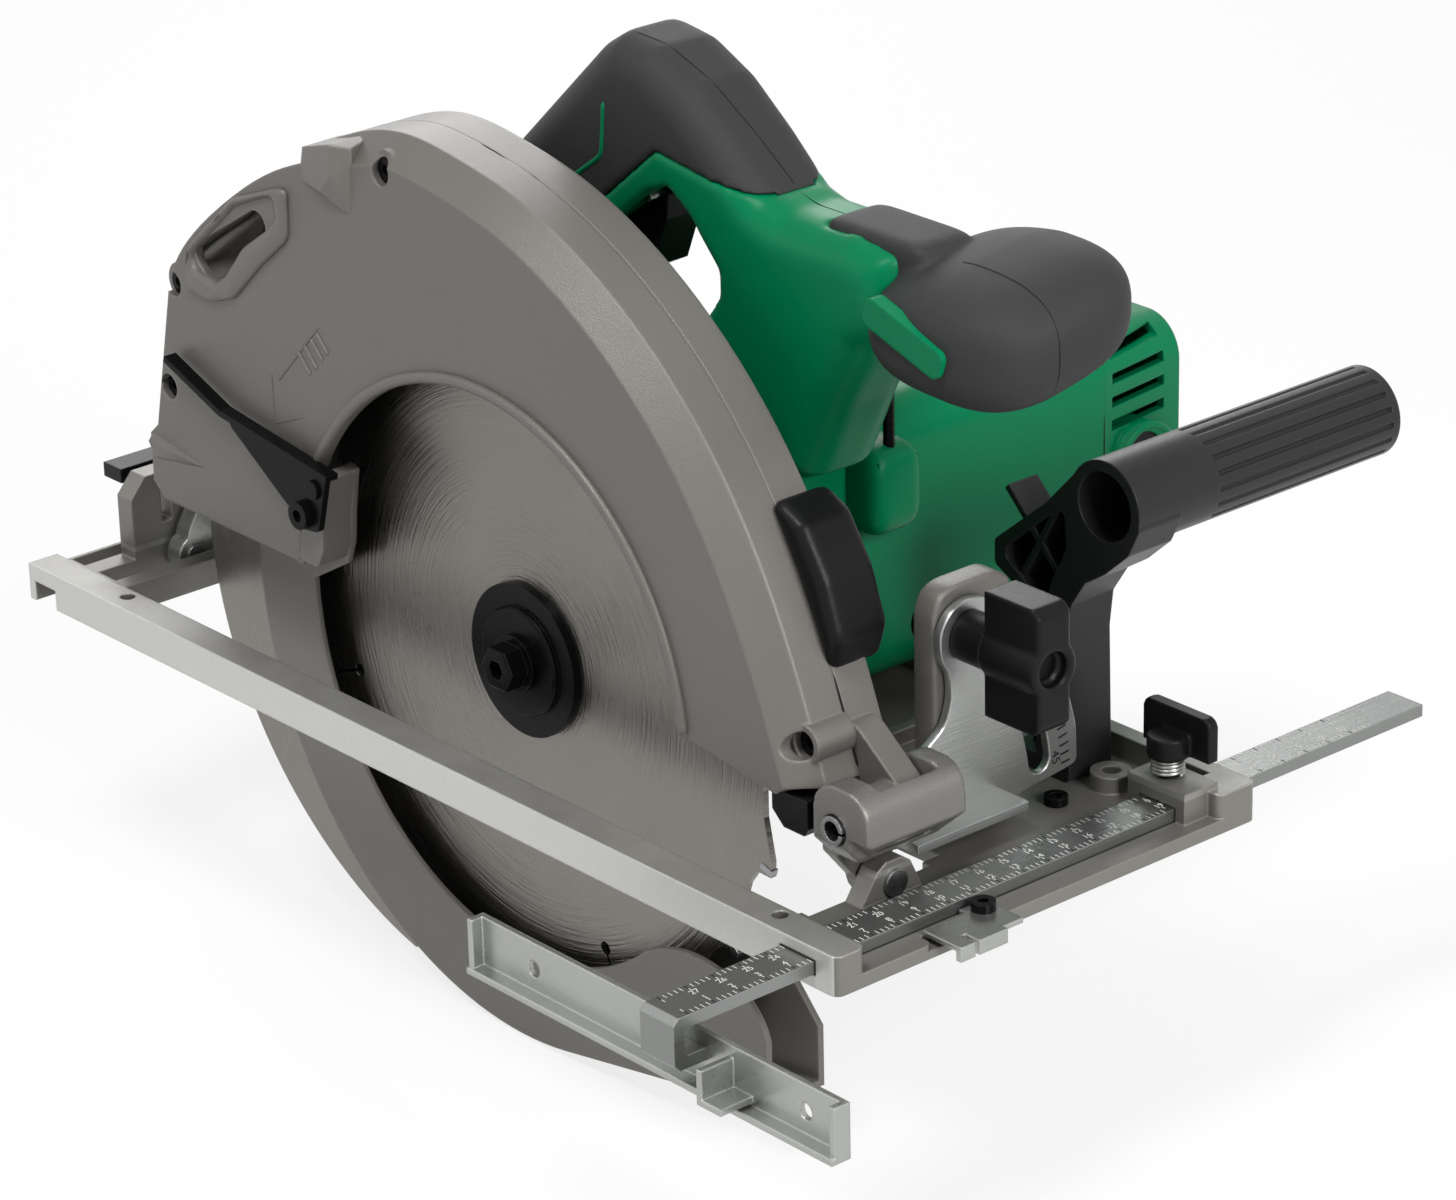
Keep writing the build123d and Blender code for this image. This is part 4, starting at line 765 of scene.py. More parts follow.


# edge_gain is how much lighter the edges are painted, partly as wear and partly as a painted highlight; on
# the black plastic and black steel it is mostly a painted highlight.
FINISHES: dict[str, Finish] = {finish.name: finish for finish in (
    Finish("green_plastic", rgb(0, 108, 68), roughness=0.34, spread=0.05, grain_size=1500, grain_depth=0.08,
           mottling=0.02, edge_gain=1.45, edge_radius=1.2, specular=0.1),
    Finish("black_plastic", rgb(17, 17, 18), roughness=0.32, grain_size=1400, grain_depth=0.10,
           mottling=0.05, edge_gain=6.0, edge_radius=0.9, specular=0.12),
    Finish("handle_plastic", rgb(31, 31, 32), roughness=0.36, grain_size=1400, grain_depth=0.10,
           mottling=0.05, edge_gain=3.4, edge_radius=0.9, specular=0.25),
    Finish("soft_rubber", rgb(42, 42, 43), roughness=0.6, grain_size=2200, grain_depth=0.25, mottling=0.05,
           edge_gain=1.4, specular=0.22),
    Finish("cast_alloy", rgb(101, 98, 94), metallic=0.2, roughness=0.36, grain_size=2600, grain_depth=0.18,
           mottling=0.06, edge_gain=2.3, edge_radius=1.4, coat=0.08, specular=0.3),
    Finish("hinge_alloy", rgb(112, 110, 106), metallic=0.5, roughness=0.3, grain_size=1800, grain_depth=0.2,
           mottling=0.06, edge_gain=1.5, edge_radius=1.2),
    RailFinish("base_alloy", rgb(116, 114, 109), metallic=0.5, roughness=0.38, grain_size=2200,
               grain_depth=0.16, mottling=0.06, edge_gain=1.9, edge_radius=1.0),
    Finish("bare_alloy", rgb(168, 170, 168), metallic=0.85, roughness=0.3, grain=Grain.ALONG_Y,
           grain_size=1800, grain_depth=0.12, mottling=0.07, edge_gain=1.3, edge_radius=0.5),
    Finish("blade_steel", rgb(126, 123, 118), metallic=1.0, roughness=0.3, spread=0.12, grain=Grain.CIRCLES,
           grain_size=1000, grain_depth=0.32, mottling=0.10, edge_gain=1.2, edge_radius=0.25),
    Finish("plain_steel", rgb(150, 150, 152), metallic=1.0, roughness=0.3, mottling=0.05, edge_gain=1.2,
           edge_radius=0.4),
    Finish("zinc_steel", rgb(166, 168, 164), metallic=0.9, roughness=0.3, grain_size=420, grain_depth=0.10,
           mottling=0.09, edge_gain=1.35, edge_radius=0.9),
    Finish("rule_steel", rgb(132, 134, 132), metallic=0.85, roughness=0.3, grain=Grain.ALONG_Y,
           grain_size=1500, grain_depth=0.12, mottling=0.10, edge_gain=1.6, edge_radius=0.6),
    Finish("black_steel", rgb(9, 9, 10), roughness=0.28, mottling=0.05, edge_gain=7.0, edge_radius=0.5,
           specular=0.08),
    Finish("lamination", rgb(96, 96, 100), metallic=0.8, roughness=0.5, grain=Grain.ALONG_X,
           grain_size=1200, grain_depth=0.3),
    Finish("copper_wire", rgb(176, 98, 52), metallic=0.8, roughness=0.35, grain_size=700, grain_depth=0.3),
    Finish("brass_tube", rgb(196, 160, 86), metallic=0.9, roughness=0.3),
    Finish("carbon", rgb(40, 40, 40), roughness=0.7, grain_depth=0.3),
    Finish("fan_plastic", rgb(58, 58, 60), roughness=0.5),
    Finish("seam_black", rgb(14, 14, 14), roughness=0.6, mottling=0.1, edge_gain=1.0, specular=0.2),
    Finish("mark_white", rgb(222, 222, 218), roughness=0.5, mottling=0.05, edge_gain=1.0),
)}
NODE_FINISHES: dict[str, str] = {
    "tilt_bolt": "black_steel",
    "base_plate": "base_alloy",
    "fence_bar": "rule_steel",
    "side_handle": "handle_plastic",
}


@dataclass
class Shop:
    """Materials made once and shared by the pieces."""

    made: dict[str, bpy.types.Material] = field(default_factory=dict)

    def material(self, name: str) -> bpy.types.Material:
        """The material of a finish, made at its first use.

        Args:
            name: the finish.
        Returns:
            The material.
        """
        if name not in self.made:
            self.made[name] = FINISHES[name].build()
        return self.made[name]

    def dress(self, piece: bpy.types.Object, name: str, body: str,
              slot: str | None = None) -> bpy.types.Object:
        """Give a new piece its finish and the body it moves with.

        Args:
            piece: the new object.
            name: the finish.
            body: the body it rides on.
            slot: the record's slot, where it isn't the finish's own name; not used.
        Returns:
            The same object.
        """
        piece.data.materials.clear()
        piece.data.materials.append(self.material(name))
        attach(piece, body)
        log.info("piece %s rides on %s", piece.name, body)
        return piece

    def dress_solids(self, frame: dict) -> None:
        """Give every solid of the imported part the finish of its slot.
        """
        for entry in frame["record"]["subparts"]:
            node = frame["nodes"][entry["node"]]
            finish = NODE_FINISHES.get(entry["node"], entry["material_slot"])
            if not node.material_slots:
                node.data.materials.append(None)
            for holder in node.material_slots:
                holder.material = self.material(finish)
            log.info("solid %s has %s", entry["node"], finish)


# ---------------------------------------------------------------- sub-assemblies
def ring(centre: Sequence[float], radius: float, degrees: float | np.ndarray) -> np.ndarray:
    """Rows of two coordinates: the centre plus the radius times the cosine and the sine."""
    turn = np.radians(degrees)
    return np.asarray(centre) + radius * np.stack([np.cos(turn), np.sin(turn)], -1)


def hub_point(radius: float, angle: float, y: float) -> Point:
    """Point at a radius and an angle in degrees round the arbor, in millimetres."""
    x, z = ring((0.0, ARBOR_Z), radius, angle)
    return (x, y, z)


@dataclass
class UpperGuard:
    """Cast details of the upper guard: beads, ribs, chip port frame and seam."""

    shop: Shop
    face_y: float = -18.0
    opening_r: float = 94.3
    opening_low: float = 41.5
    seam_y: float = 4.0
    port_centre: tuple[float, float] = (-122.0, 142.0)
    port_steps: int = 180
    duct_steps: tuple[int, int] = (80, 182)
    duct_depth: float = 15.0
    port_outer: tuple[tuple[float, float], ...] = (
        (-144.5, 135.5), (-118.6, 157.4), (-90.2, 168.0), (-90.8, 150.4), (-106.1, 138.0), (-121.9, 122.9),
        (-133.1, 119.0), (-148.2, 120.0))
    port_inner: tuple[tuple[float, float], ...] = (
        (-145.3, 132.0), (-118.7, 155.3), (-96.8, 164.2), (-95.6, 154.8), (-114.7, 141.5), (-125.0, 129.4),
        (-131.5, 125.0), (-144.2, 126.7))
    ribs: tuple[tuple[float, float, float, float], ...] = (
        (-89.3, 113.5, -83.3, 107.2), (-85.7, 116.5, -79.7, 110.2), (-82.2, 119.6, -76.5, 113.7),
        (-79.1, 122.5, -73.5, 116.6))
    arrow: tuple[tuple[float, float, float, float], ...] = (
        (-104.5, 102.0, -104.0, 85.5), (-104.0, 85.5, -89.1, 91.4), (-100.4, 100.9, -78.0, 124.4))
    rim: tuple[tuple[float, float], ...] = (
        (4, 146.2), (13, 141), (28, 138), (45, 139.5), (60, 143.5), (75, 150), (87, 156.5), (96, 162),
        (104, 168), (112, 170.5), (117, 171))

    def opening_bead(self) -> None:
        """Rolled edge round the blade opening: a torus arc cut off at the guard's lower edge."""
        start = math.degrees(math.asin((self.opening_low - ARBOR_Z) / self.opening_r))
        angles = np.linspace(start, 180 - start, 120)
        corners = [hub_point(self.opening_r, angle, self.face_y - 0.5) for angle in angles]
        self.shop.dress(bead("opening_bead", corners, (0, 1, 0), 1.9, 1.5), "cast_alloy", "head")

    def port_ring(self, corners: Sequence[Sequence[float]], grow: float, y: float,
                  scale: float = 1.0) -> np.ndarray:
        """Ring of points on an eased outline of the port, grown or shrunk, at a depth.

        Args:
            corners: the outline's corners as x and z.
            grow: millimetres added to each distance from the port's centre.
            y: depth in millimetres.
            scale: share of each distance that is kept.
        Returns:
            Rows of points in millimetres.
        """
        turn = np.linspace(0, 2 * np.pi, self.port_steps, endpoint=False)
        reach = outline_radii(np.array(corners, float), np.array(self.port_centre), turn)
        for _ in range(2):
            reach = (np.roll(reach, 1) + reach + np.roll(reach, -1)) / 3
        reach = reach * scale + grow
        return np.stack([self.port_centre[0] + reach * np.cos(turn), np.full(self.port_steps, y),
                         self.port_centre[1] + reach * np.sin(turn)], -1)

    def port_frame(self) -> None:
        """Raised frame round the chip port: rings from its foot over a rounded top and down a wall."""
        outer, inner = self.port_outer, self.port_inner
        steps = ((outer, 0.4, 0.2, 1.0), (outer, -0.1, -1.0, 1.0), (outer, -0.9, -1.7, 1.0),
                 (inner, 0.9, -1.7, 1.0), (inner, 0.2, -1.3, 1.0), (inner, -0.5, -0.4, 1.0),
                 (inner, 0.0, 0.4, 0.86))
        rings = np.stack([self.port_ring(corners, grow, self.face_y + rise, scale)
                          for corners, grow, rise, scale in steps])
        piece = mesh_piece("port_frame", place(rings.reshape(-1, 3)),
                           grid_faces(len(rings), self.port_steps, True, True))
        self.shop.dress(piece, "cast_alloy", "head")

    def chip_duct(self) -> None:
        """Scoop behind the port: part rings that sink and draw together as a quarter circle."""
        step = np.linspace(0, np.pi / 2, 14)[:, None, None]
        keep = np.arange(*self.duct_steps) % self.port_steps
        middle = np.array([self.port_centre[0], 0.0, self.port_centre[1] + 2.0])
        start = self.port_ring(self.port_inner, -0.6, 0.0)[keep] - middle
        sink = np.sin(step) * np.array([0.0, self.duct_depth, 5.0]) + np.array([0.0, self.face_y + 0.6, 0.0])
        outer = middle + start * (0.12 + 0.88 * np.cos(step)) + sink
        points = np.concatenate([outer, outer[::-1] + np.array([0.0, 0.8, -0.5])])
        piece = mesh_piece("chip_duct", place(points.reshape(-1, 3)),
                           grid_faces(len(points), len(keep), True, False))
        self.shop.dress(piece, "hinge_alloy", "head", "cast_alloy")

    def fairings(self) -> None:
        """Faceted wedges that stand on the near face, each the hull of its foot and ridge points."""
        y = self.face_y + 0.3
        rim = [(-84.0, y, 171.5), (-57.5, y, 165.5), (-56.5, y, 188.0), (-69.2, y - 3.4, 172.0),
               (-80.8, y - 0.6, 183.0), (-63.0, y - 3.8, 188.5), (-62.0, y - 4.4, 179.5),
               (-80.8, -4.0, 183.2), (-60.0, -4.0, 189.5)]
        rear = [(-173.0, y, 63.6), (-140.5, y, 58.0), (-172.8, y, 53.0), (-172.8, y - 2.6, 60.6)]
        for name, points in (("rim_fairing", rim), ("rear_fairing", rear)):
            self.shop.dress(hull_piece(name, place(points)), "cast_alloy", "head")

    def marks(self) -> None:
        """Four ribs and a plain arrow, each a thin bead on the guard's near face."""
        for kind, strokes, width, height, step in (("rib", self.ribs, 0.5, 0.6, 0.25),
                                                   ("arrow", self.arrow, 0.3, 0.3, 0.3)):
            for index, (x0, z0, x1, z1) in enumerate(strokes):
                ends = [(x0, self.face_y, z0), (x1, self.face_y, z1)]
                piece = bead(f"guard_{kind}_{index}", ends, (0, 1, 0), width, height, ease=0, step=step)
                self.shop.dress(piece, "cast_alloy", "head")

    def seam(self) -> None:
        """Dark joint line between the cover and the gear case, along the guard's rim."""
        corners = [hub_point(radius + 0.02, angle, self.seam_y) for angle, radius in self.rim]
        path = rounded(even_path(place(corners), 1.5 * MM), 12, False)
        points, faces = bead_arrays(path, (0, 1, 0), (0.25 * MM, 0.45 * MM), False, 8)
        self.shop.dress(mesh_piece("guard_seam", points, faces), "seam_black", "head", "black_plastic")

    def build(self) -> None:
        """Make every detail."""
        self.opening_bead()
        self.port_frame()
        self.chip_duct()
        self.fairings()
        self.marks()
        self.seam()


@dataclass
class Blade:
    """Carbide tips of the blade."""

    shop: Shop
    radius: float = 117.5
    teeth: int = 20
    first_degrees: float = 0.7
    tip_half: Point = (2.5, 1.35, 1.1)
    tip_inset: float = 2.6

    def build(self) -> None:
        """Tips: one small box at each tooth, turned with it round the arbor."""
        pitch = 2 * np.pi / self.teeth
        angles = pitch * np.arange(self.teeth) + math.radians(self.first_degrees)
        radius = (self.radius - self.tip_inset) * MM
        centres = np.stack([radius * np.cos(angles) - BAR_X * MM, np.zeros(self.teeth),
                            ARBOR_Z * MM + radius * np.sin(angles)], -1)
        points, faces = boxes_arrays(centres, np.array(self.tip_half) * MM, angles, (0, 2))
        self.shop.dress(mesh_piece("blade_tips", points, faces, False), "plain_steel", "arbor")


@dataclass
class FenceScale:
    """Printed ruler on the top of the rip fence bar."""

    shop: Shop
    top: float = 8.5
    near: float = -92.0
    far: float = 188.0
    half_width: float = 7.2
    tick_step: float = 2.0
    number_step: float = 10.0

    def ticks(self) -> None:
        """Ticks: thin boxes every two millimetres along both edges, longer every ten."""
        at = np.arange(0, self.far - self.near, self.tick_step)
        for edge in (-1, 1):
            for name, half, step in (("short", 1.0, 1), ("long", 1.8, 5)):
                run = at[::step]
                x = np.full(len(run), BAR_X + edge * (self.half_width - 0.4 - half))
                centres = place(np.stack([x, self.near + run, np.full(len(run), self.top + 0.01)], -1))
                points, faces = boxes_arrays(centres, (half * MM, 0.14 * MM, 0.03 * MM))
                side = "rear" if edge < 0 else "front"
                piece = mesh_piece(f"ruler_{side}_{name}", points, faces, False)
                self.shop.dress(piece, "mark_white", "fence", "bare_alloy")

    def numbers(self) -> None:
        """Numbers beside the long ticks: one edge counts away from the guide, the other back to it."""
        count = int((self.far - self.near) / self.number_step)
        for index in range(1, count):
            y = self.near + self.number_step * index
            for side, x, value in (("front", 2.2, index), ("rear", -2.2, count - index)):
                centre = (BAR_X + x, y, self.top + 0.01)
                piece = words(f"ruler_{side}_{index}", str(value), 2.3, centre, (0, 1, 0), (-1, 0, 0))
                self.shop.dress(piece, "mark_white", "fence", "bare_alloy")

    def build(self) -> None:
        """Make the ruler."""
        self.ticks()
        self.numbers()


def cut_plate(name: str, outline: np.ndarray, opening: np.ndarray, across: tuple[float, float],
              edge: float) -> bpy.types.Object:
    """A flat plate across x with one opening and rounded edges.

    Args:
        name: the piece's name.
        outline: rows of y and z in millimetres round the plate.
        opening: rows of y and z round the opening.
        across: its back and front face along x, in millimetres.
        edge: radius of its edges in millimetres.
    Returns:
        The mesh object, with its place in its mesh.
    """
    curve = bpy.data.curves.new(name, "CURVE")
    curve.dimensions, curve.fill_mode = "2D", "BOTH"
    curve.extrude = ((across[1] - across[0]) / 2 - edge) * MM
    curve.bevel_depth, curve.offset, curve.bevel_resolution = edge * MM, -edge * MM, 2
    for loop in (outline, opening):
        spline = curve.splines.new("POLY")
        spline.points.add(len(loop) - 1)
        flat = np.column_stack([loop * MM, np.zeros(len(loop)), np.ones(len(loop))])
        spline.points.foreach_set("co", flat.ravel())
        spline.use_cyclic_u = True
    data = curve_mesh(name, curve)
    middle = place([(sum(across) / 2, 0.0, 0.0)])[0]
    store_rows(data, middle + vertex_rows(data)[:, [2, 0, 1]])
    return linked(name, data)


def eased_outline(corners: Sequence[tuple[float, float]], passes: int, closed: bool) -> np.ndarray:
    """Rows of y and z every half millimetre along corners in millimetres, with the corners eased."""
    rows = np.column_stack([np.zeros(len(corners)), np.asarray(corners, float)])
    return rounded(even_path(rows, 0.5, closed), passes, closed)[:, 1:]


@dataclass
class BevelPlates:
    """The slotted bevel plate with its angle scale, and the cast bracket behind it."""

    shop: Shop
    slot_radius: float = 75.0
    slot_half: float = 4.3
    slot_angles: tuple[float, float] = (7.5, 53.0)
    bolt_hole: float = 4.0
    plate_x: tuple[float, float] = (140.5, 143.5)
    bracket_x: tuple[float, float] = (131.0, 140.0)
    plate_corners: tuple[tuple[float, float], ...] = (
        (14, 10), (14, 33), (19, 35), (32, 36), (41, 42), (43.5, 50), (43, 58), (39.2, 64), (39, 72),
        (43, 78), (50, 80.4), (58, 79), (73, 67), (84, 53), (91, 40), (95, 26), (95.5, 13), (69, 10))
    bracket_corners: tuple[tuple[float, float], ...] = (
        (39.5, 4.0), (39.5, 76), (42, 82), (47, 84), (65, 84), (70.5, 81), (72, 74), (74, 30), (76, 4.0))
    tick_radius: float = 85.5
    number_radius: float = 81.6

    def slot(self) -> np.ndarray:
        """Outline of the curved slot: two arcs round the tilt axis joined by half circles.

        Returns:
            Rows of y and z in millimetres.
        """
        low, high = self.slot_angles
        half_turn = np.linspace(0, 180, 14)[1:-1]
        ends = [ring(ring(TILT_AXIS, self.slot_radius, at), self.slot_half, start + half_turn)
                for at, start in ((high, high), (low, low + 180))]
        return np.concatenate([
            ring(TILT_AXIS, self.slot_radius + self.slot_half, np.linspace(low, high, 30)), ends[0],
            ring(TILT_AXIS, self.slot_radius - self.slot_half, np.linspace(high, low, 30)), ends[1]])

    def plate(self) -> None:
        """The plate, the lip along its foot and the web to the hinge."""
        piece = cut_plate("slotted_plate", eased_outline(self.plate_corners, 24, True), self.slot(),
                          self.plate_x, 0.4)
        self.shop.dress(piece, "bare_alloy", "carriage")
        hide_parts("bevel_plate")
        for name, centre, half in (("plate_lip", (150.0, 39.5, 14.0), (6.9, 22.5, 1.5)),
                                   ("plate_web", (146.6, 17.5, 24.0), (3.5, 3.5, 11.0))):
            points, faces = boxes_arrays(place([centre]), np.asarray(half) * MM)
            self.shop.dress(mesh_piece(name, points, faces, False), "bare_alloy", "carriage")

    def bracket(self) -> None:
        """The bracket: an upright with rounded shoulders and the bolt's hole."""
        bolt = ring(TILT_AXIS, self.slot_radius, self.slot_angles[1])
        hole = ring(bolt, self.bolt_hole, np.linspace(0, 360, 33)[:-1])
        piece = cut_plate("bracket_plate", eased_outline(self.bracket_corners, 20, False), hole,
                          self.bracket_x, 1.0)
        self.shop.dress(piece, "cast_alloy", "base")
        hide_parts("bevel_bracket")

    def ticks(self) -> None:
        """Ticks: thin boxes every two degrees across an arc, in the plate's front face."""
        degrees = np.arange(4, 46, 2.0)
        rows = ring(TILT_AXIS, self.tick_radius, degrees)
        centres = place(np.column_stack([np.full(len(rows), self.plate_x[1] + 0.02), rows]))
        points, faces = boxes_arrays(centres, (0.06 * MM, 1.8 * MM, 0.28 * MM), np.radians(degrees), (1, 2))
        piece = mesh_piece("bevel_ticks", points, faces, False)
        self.shop.dress(piece, "seam_black", "carriage", "black_plastic")

    def numbers(self) -> None:
        """Numbers inside the ticks, their tops pointing away from the tilt axis."""
        for text, degrees in (("0", 42.0), ("15", 30.0), ("30", 18.0), ("45", 6.0)):
            y, z = ring(TILT_AXIS, self.number_radius, degrees)
            out_y, out_z = ring((0.0, 0.0), 1.0, degrees)
            piece = words(f"bevel_number_{text}", text, 3.2, (self.plate_x[1] + 0.04, y, z),
                          (0, out_z, -out_y), (0, out_y, out_z))
            self.shop.dress(piece, "seam_black", "carriage", "black_plastic")

    def build(self) -> None:
        """Make the plates and the scale."""
        self.plate()
        self.bracket()
        self.ticks()
        self.numbers()


@dataclass
class ClampSpring:
    """Helical spring under the thumb screw."""

    shop: Shop
    centre: tuple[float, float] = (171.0, 106.5)
    low: float = 15.0
    high: float = 20.9
    radius: float = 4.8
    wire: float = 0.5
    turns: float = 4.0

    def build(self) -> None:
        """Coil: a circle's point whose height rises evenly with the angle."""
        angle = np.linspace(0, 2 * np.pi * self.turns, 160)
        rise = self.low + self.wire + (self.high - self.low - 2 * self.wire) * angle / angle[-1]
        path = place(np.stack([self.centre[0] + self.radius * np.cos(angle),
                               self.centre[1] + self.radius * np.sin(angle), rise], -1))
        points, faces = bead_arrays(path, (0, 0, 1), (self.wire * MM, self.wire * MM), False, 10)
        piece = self.shop.dress(mesh_piece("coil_spring", points, faces), "zinc_steel", "base")
        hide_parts("clamp_spring")


@dataclass
class Softening:
    """How one moulded or cast solid is eased: cell size in millimetres and smoothing passes."""

    node: str
    finish: str
    body: str
    voxel: float
    passes: int
    inset: float = 0.0
    slot: str | None = None


@dataclass
class Mouldings:
    """Moulded and cast solids with eased shapes, the front knob, and the lines laid on them."""

    shop: Shop
    frame: dict
    knob_centre: Point = (148.5, 58.5, 169.0)
    knob_half: Point = (35.5, 32.0, 19.0)
    eased: tuple[Softening, ...] = (
        Softening("grip_cover", "soft_rubber", "head", 0.9, 16),
        Softening("handle_shell", "green_plastic", "head", 1.2, 8),
        Softening("hinge_block", "hinge_alloy", "carriage", 0.6, 8, 0.18, "cast_alloy"),
        Softening("blower_duct", "black_plastic", "head", 0.8, 22),
        Softening("wing_knob", "black_plastic", "wing_knob", 0.6, 5),
        Softening("thumb_screw", "black_plastic", "thumb_screw", 0.5, 5),
    )
    button_clearance: float = 2.0
    button_depth: float = 5.5
    strap_centre: Point = (112.0, 53.5, 180.0)
    strap_half: Point = (21.0, 11.5, 8.2)
    motor_axis: tuple[float, float] = (17.5, 59.5)
    tail_y: float = 186.0
    tail_half: float = 46.05
    cap_y: float = 205.0
    cap_radius: float = 11.0
    cap_out: float = 46.2
    key_centre: Point = (62.5, 85.0, 85.0)
    key_half: Point = (15.0, 10.5, 15.0)
    seam_centre: Point = (150.0, 48.5, 170.0)
    seam_degrees: tuple[float, float] = (112.0, -62.0)
    made: dict[str, bpy.types.Object] = field(default_factory=dict)

    def ease_all(self) -> None:
        """Round every listed solid."""
        for rule in self.eased:
            piece = softened(self.frame["nodes"][rule.node], rule.node + "_form", rule.voxel, rule.passes,
                             rule.inset)
            self.shop.dress(piece, rule.finish, rule.body, rule.slot)
            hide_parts(rule.node)
            self.made[rule.node] = piece

    def clear_button(self) -> None:
        """Keep the eased shell clear of the lock button's travel.

        A point inside the button's widened cylinder moves to the nearer of its wall and its inner end.
        """
        low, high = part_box("lock_button")
        centre = (low + high) / 2
        radius = (high.x - low.x) / 2 + self.button_clearance * MM
        floor = low.y - self.button_depth * MM
        data = self.made["handle_shell"].data
        rows = vertex_rows(data)
        dx, dz = rows[:, 0] - centre.x, rows[:, 2] - centre.z
        away = np.hypot(dx, dz)
        inside = (away < radius) & (rows[:, 1] > floor) & (rows[:, 1] < high.y + self.button_clearance * MM)
        to_floor = inside & (rows[:, 1] - floor < radius - away)
        to_wall = inside & ~to_floor
        rows[to_floor, 1] = floor
        share = radius / np.maximum(away[to_wall], 1e-6)
        rows[to_wall, 0] = centre.x + dx[to_wall] * share
        rows[to_wall, 2] = centre.z + dz[to_wall] * share
        store_rows(data, rows)

    def knob(self) -> None:
        """Front knob: a rounded block joined to its strap and eased as one."""
        points, faces = round_block(self.knob_centre, self.knob_half, (3.0, 2.7), 3.0, 5.0, 5.0)
        strap, strap_faces = round_block(self.strap_centre, self.strap_half, (8.0, 7.0))
        block = mesh_piece("knob_blank", np.concatenate([points, strap]),
                           np.concatenate([faces, strap_faces + len(points)]))
        piece = softened(block, "knob_form", 1.1, 10)
        bpy.data.objects.remove(block)
        self.shop.dress(piece, "soft_rubber", "head")
        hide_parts("knob_cover")
        self.made["knob"] = piece

    def key_boss(self) -> None:
        """Swelling of the motor housing where the stored key enters it."""
        points, faces = round_block(self.key_centre, self.key_half, (5.0, 4.0))
        self.shop.dress(mesh_piece("key_boss", points, faces), "green_plastic", "head")

    def motor_seam(self) -> None:
        """Joint line between motor housing and tail cover: a square path with round corners.

        Each coordinate is a clipped multiple of the cosine or sine plus a share of it, which leaves flat
        sides that meet in arcs.
        """
        circle = ring((0.0, 0.0), 1.0, np.linspace(0, 360, 200, endpoint=False))
        flat = np.clip(32.0 * np.clip(circle * 3.2, -1, 1) + 14.0 * circle, -self.tail_half, self.tail_half)
        x, z = (self.motor_axis + flat).T
        path = rounded(place(np.stack([x, np.full(len(x), self.tail_y), z], -1)), 3, True)
        points, faces = bead_arrays(path, (0, 1, 0), (0.2 * MM, 0.3 * MM), True, 8)
        self.shop.dress(mesh_piece("motor_seam", points, faces), "seam_black", "head", "green_plastic")

    def cap_rings(self) -> None:
        """Raised rings round the two brush caps on the motor's sides."""
        middle_x, middle_z = self.motor_axis
        circle = ring((self.cap_y, middle_z), self.cap_radius, np.linspace(0, 360, 60, endpoint=False))
        for name, side in (("rear", -1), ("front", 1)):
            corners = np.column_stack([np.full(len(circle), middle_x + side * self.cap_out), circle])
            points, faces = bead_arrays(place(corners), (1, 0, 0), (1.5 * MM, 1.6 * MM), True)
            self.shop.dress(mesh_piece(f"cap_ring_{name}", points, faces), "green_plastic", "head")

    def laid_line(self, name: str, on: str, path_mm: Sequence[Point], way: Point, finish: str, slot: str,
                  size: tuple[float, float]) -> None:
        """Thin line laid on an eased solid along a path, found by rays in one direction.

        Args:
            name: the new piece's name.
            on: the eased solid.
            path_mm: corners of the path, off the surface.
            way: direction of the rays.
            finish: the line's finish.
            slot: the record's slot.
            size: half width and half height in millimetres.
        """
        starts = even_path(place(path_mm), 1.2 * MM)
        ways = np.repeat(np.array([way], float), len(starts), 0)
        hits = draped(self.made[on], starts, ways)
        up = -np.array(way, float)
        points, faces = bead_arrays(rounded(hits, 3, False), up, (size[0] * MM, size[1] * MM), False, 8)
        self.shop.dress(mesh_piece(name, points, faces), finish, "head", slot)

    def knob_seam(self) -> None:
        """Joint line round the knob, found by rays towards its centre in one upright plane."""
        angles = np.radians(np.linspace(*self.seam_degrees, 90))
        centre = place([self.seam_centre])[0]
        out = np.stack([np.cos(angles), np.zeros(len(angles)), np.sin(angles)], -1)
        hits = draped(self.made["knob"], centre + out * 0.08, -out)
        points, faces = bead_arrays(rounded(hits, 3, False), (0, 1, 0), (0.16 * MM, 0.22 * MM), False, 8)
        self.shop.dress(mesh_piece("knob_seam", points, faces), "seam_black", "head", "soft_rubber")

    def lines(self) -> None:
        """Inlay on the grip's near side, joint lines of the grip and knob."""
        inlay = ((2.0, 20.0, 204.5), (0.3, 20.0, 187.0), (-13.0, 20.0, 177.5))
        self.laid_line("grip_inlay", "grip_cover", inlay, (0, 1, 0), "green_plastic", "green_plastic",
                       (0.8, 0.5))
        self.laid_line("shell_seam", "handle_shell", ((69.0, 52.0, 250.0), (91.0, 52.0, 250.0)), (0, 0, -1),
                       "seam_black", "green_plastic", (0.14, 0.12))
        self.laid_line("grip_seam", "grip_cover", ((4.0, 44.0, 250.0), (68.0, 52.5, 250.0)), (0, 0, -1),
                       "seam_black", "soft_rubber", (0.2, 0.15))
        self.knob_seam()

    def build(self) -> None:
        """Make every moulding."""
        self.ease_all()
        self.clear_button()
        self.knob()
        self.key_boss()
        self.cap_rings()
        self.motor_seam()
        self.lines()


@dataclass
class Lamp:
    """A square soft lamp: where it stands, its side in metres and its power in watts."""

    name: str
    at: Point
    size: float
    watts: float

    def build(self, target: Point) -> None:
        """Set up the lamp.

        Args:
            target: the point it is aimed at.
        """
        data = bpy.data.lights.new(self.name, "AREA")
        data.shape, data.size, data.energy = "SQUARE", self.size, self.watts
        lamp = linked(self.name, data)
        lamp.location = self.at
        lamp.rotation_euler = (Vector(target) - Vector(self.at)).to_track_quat("-Z", "Y").to_euler()


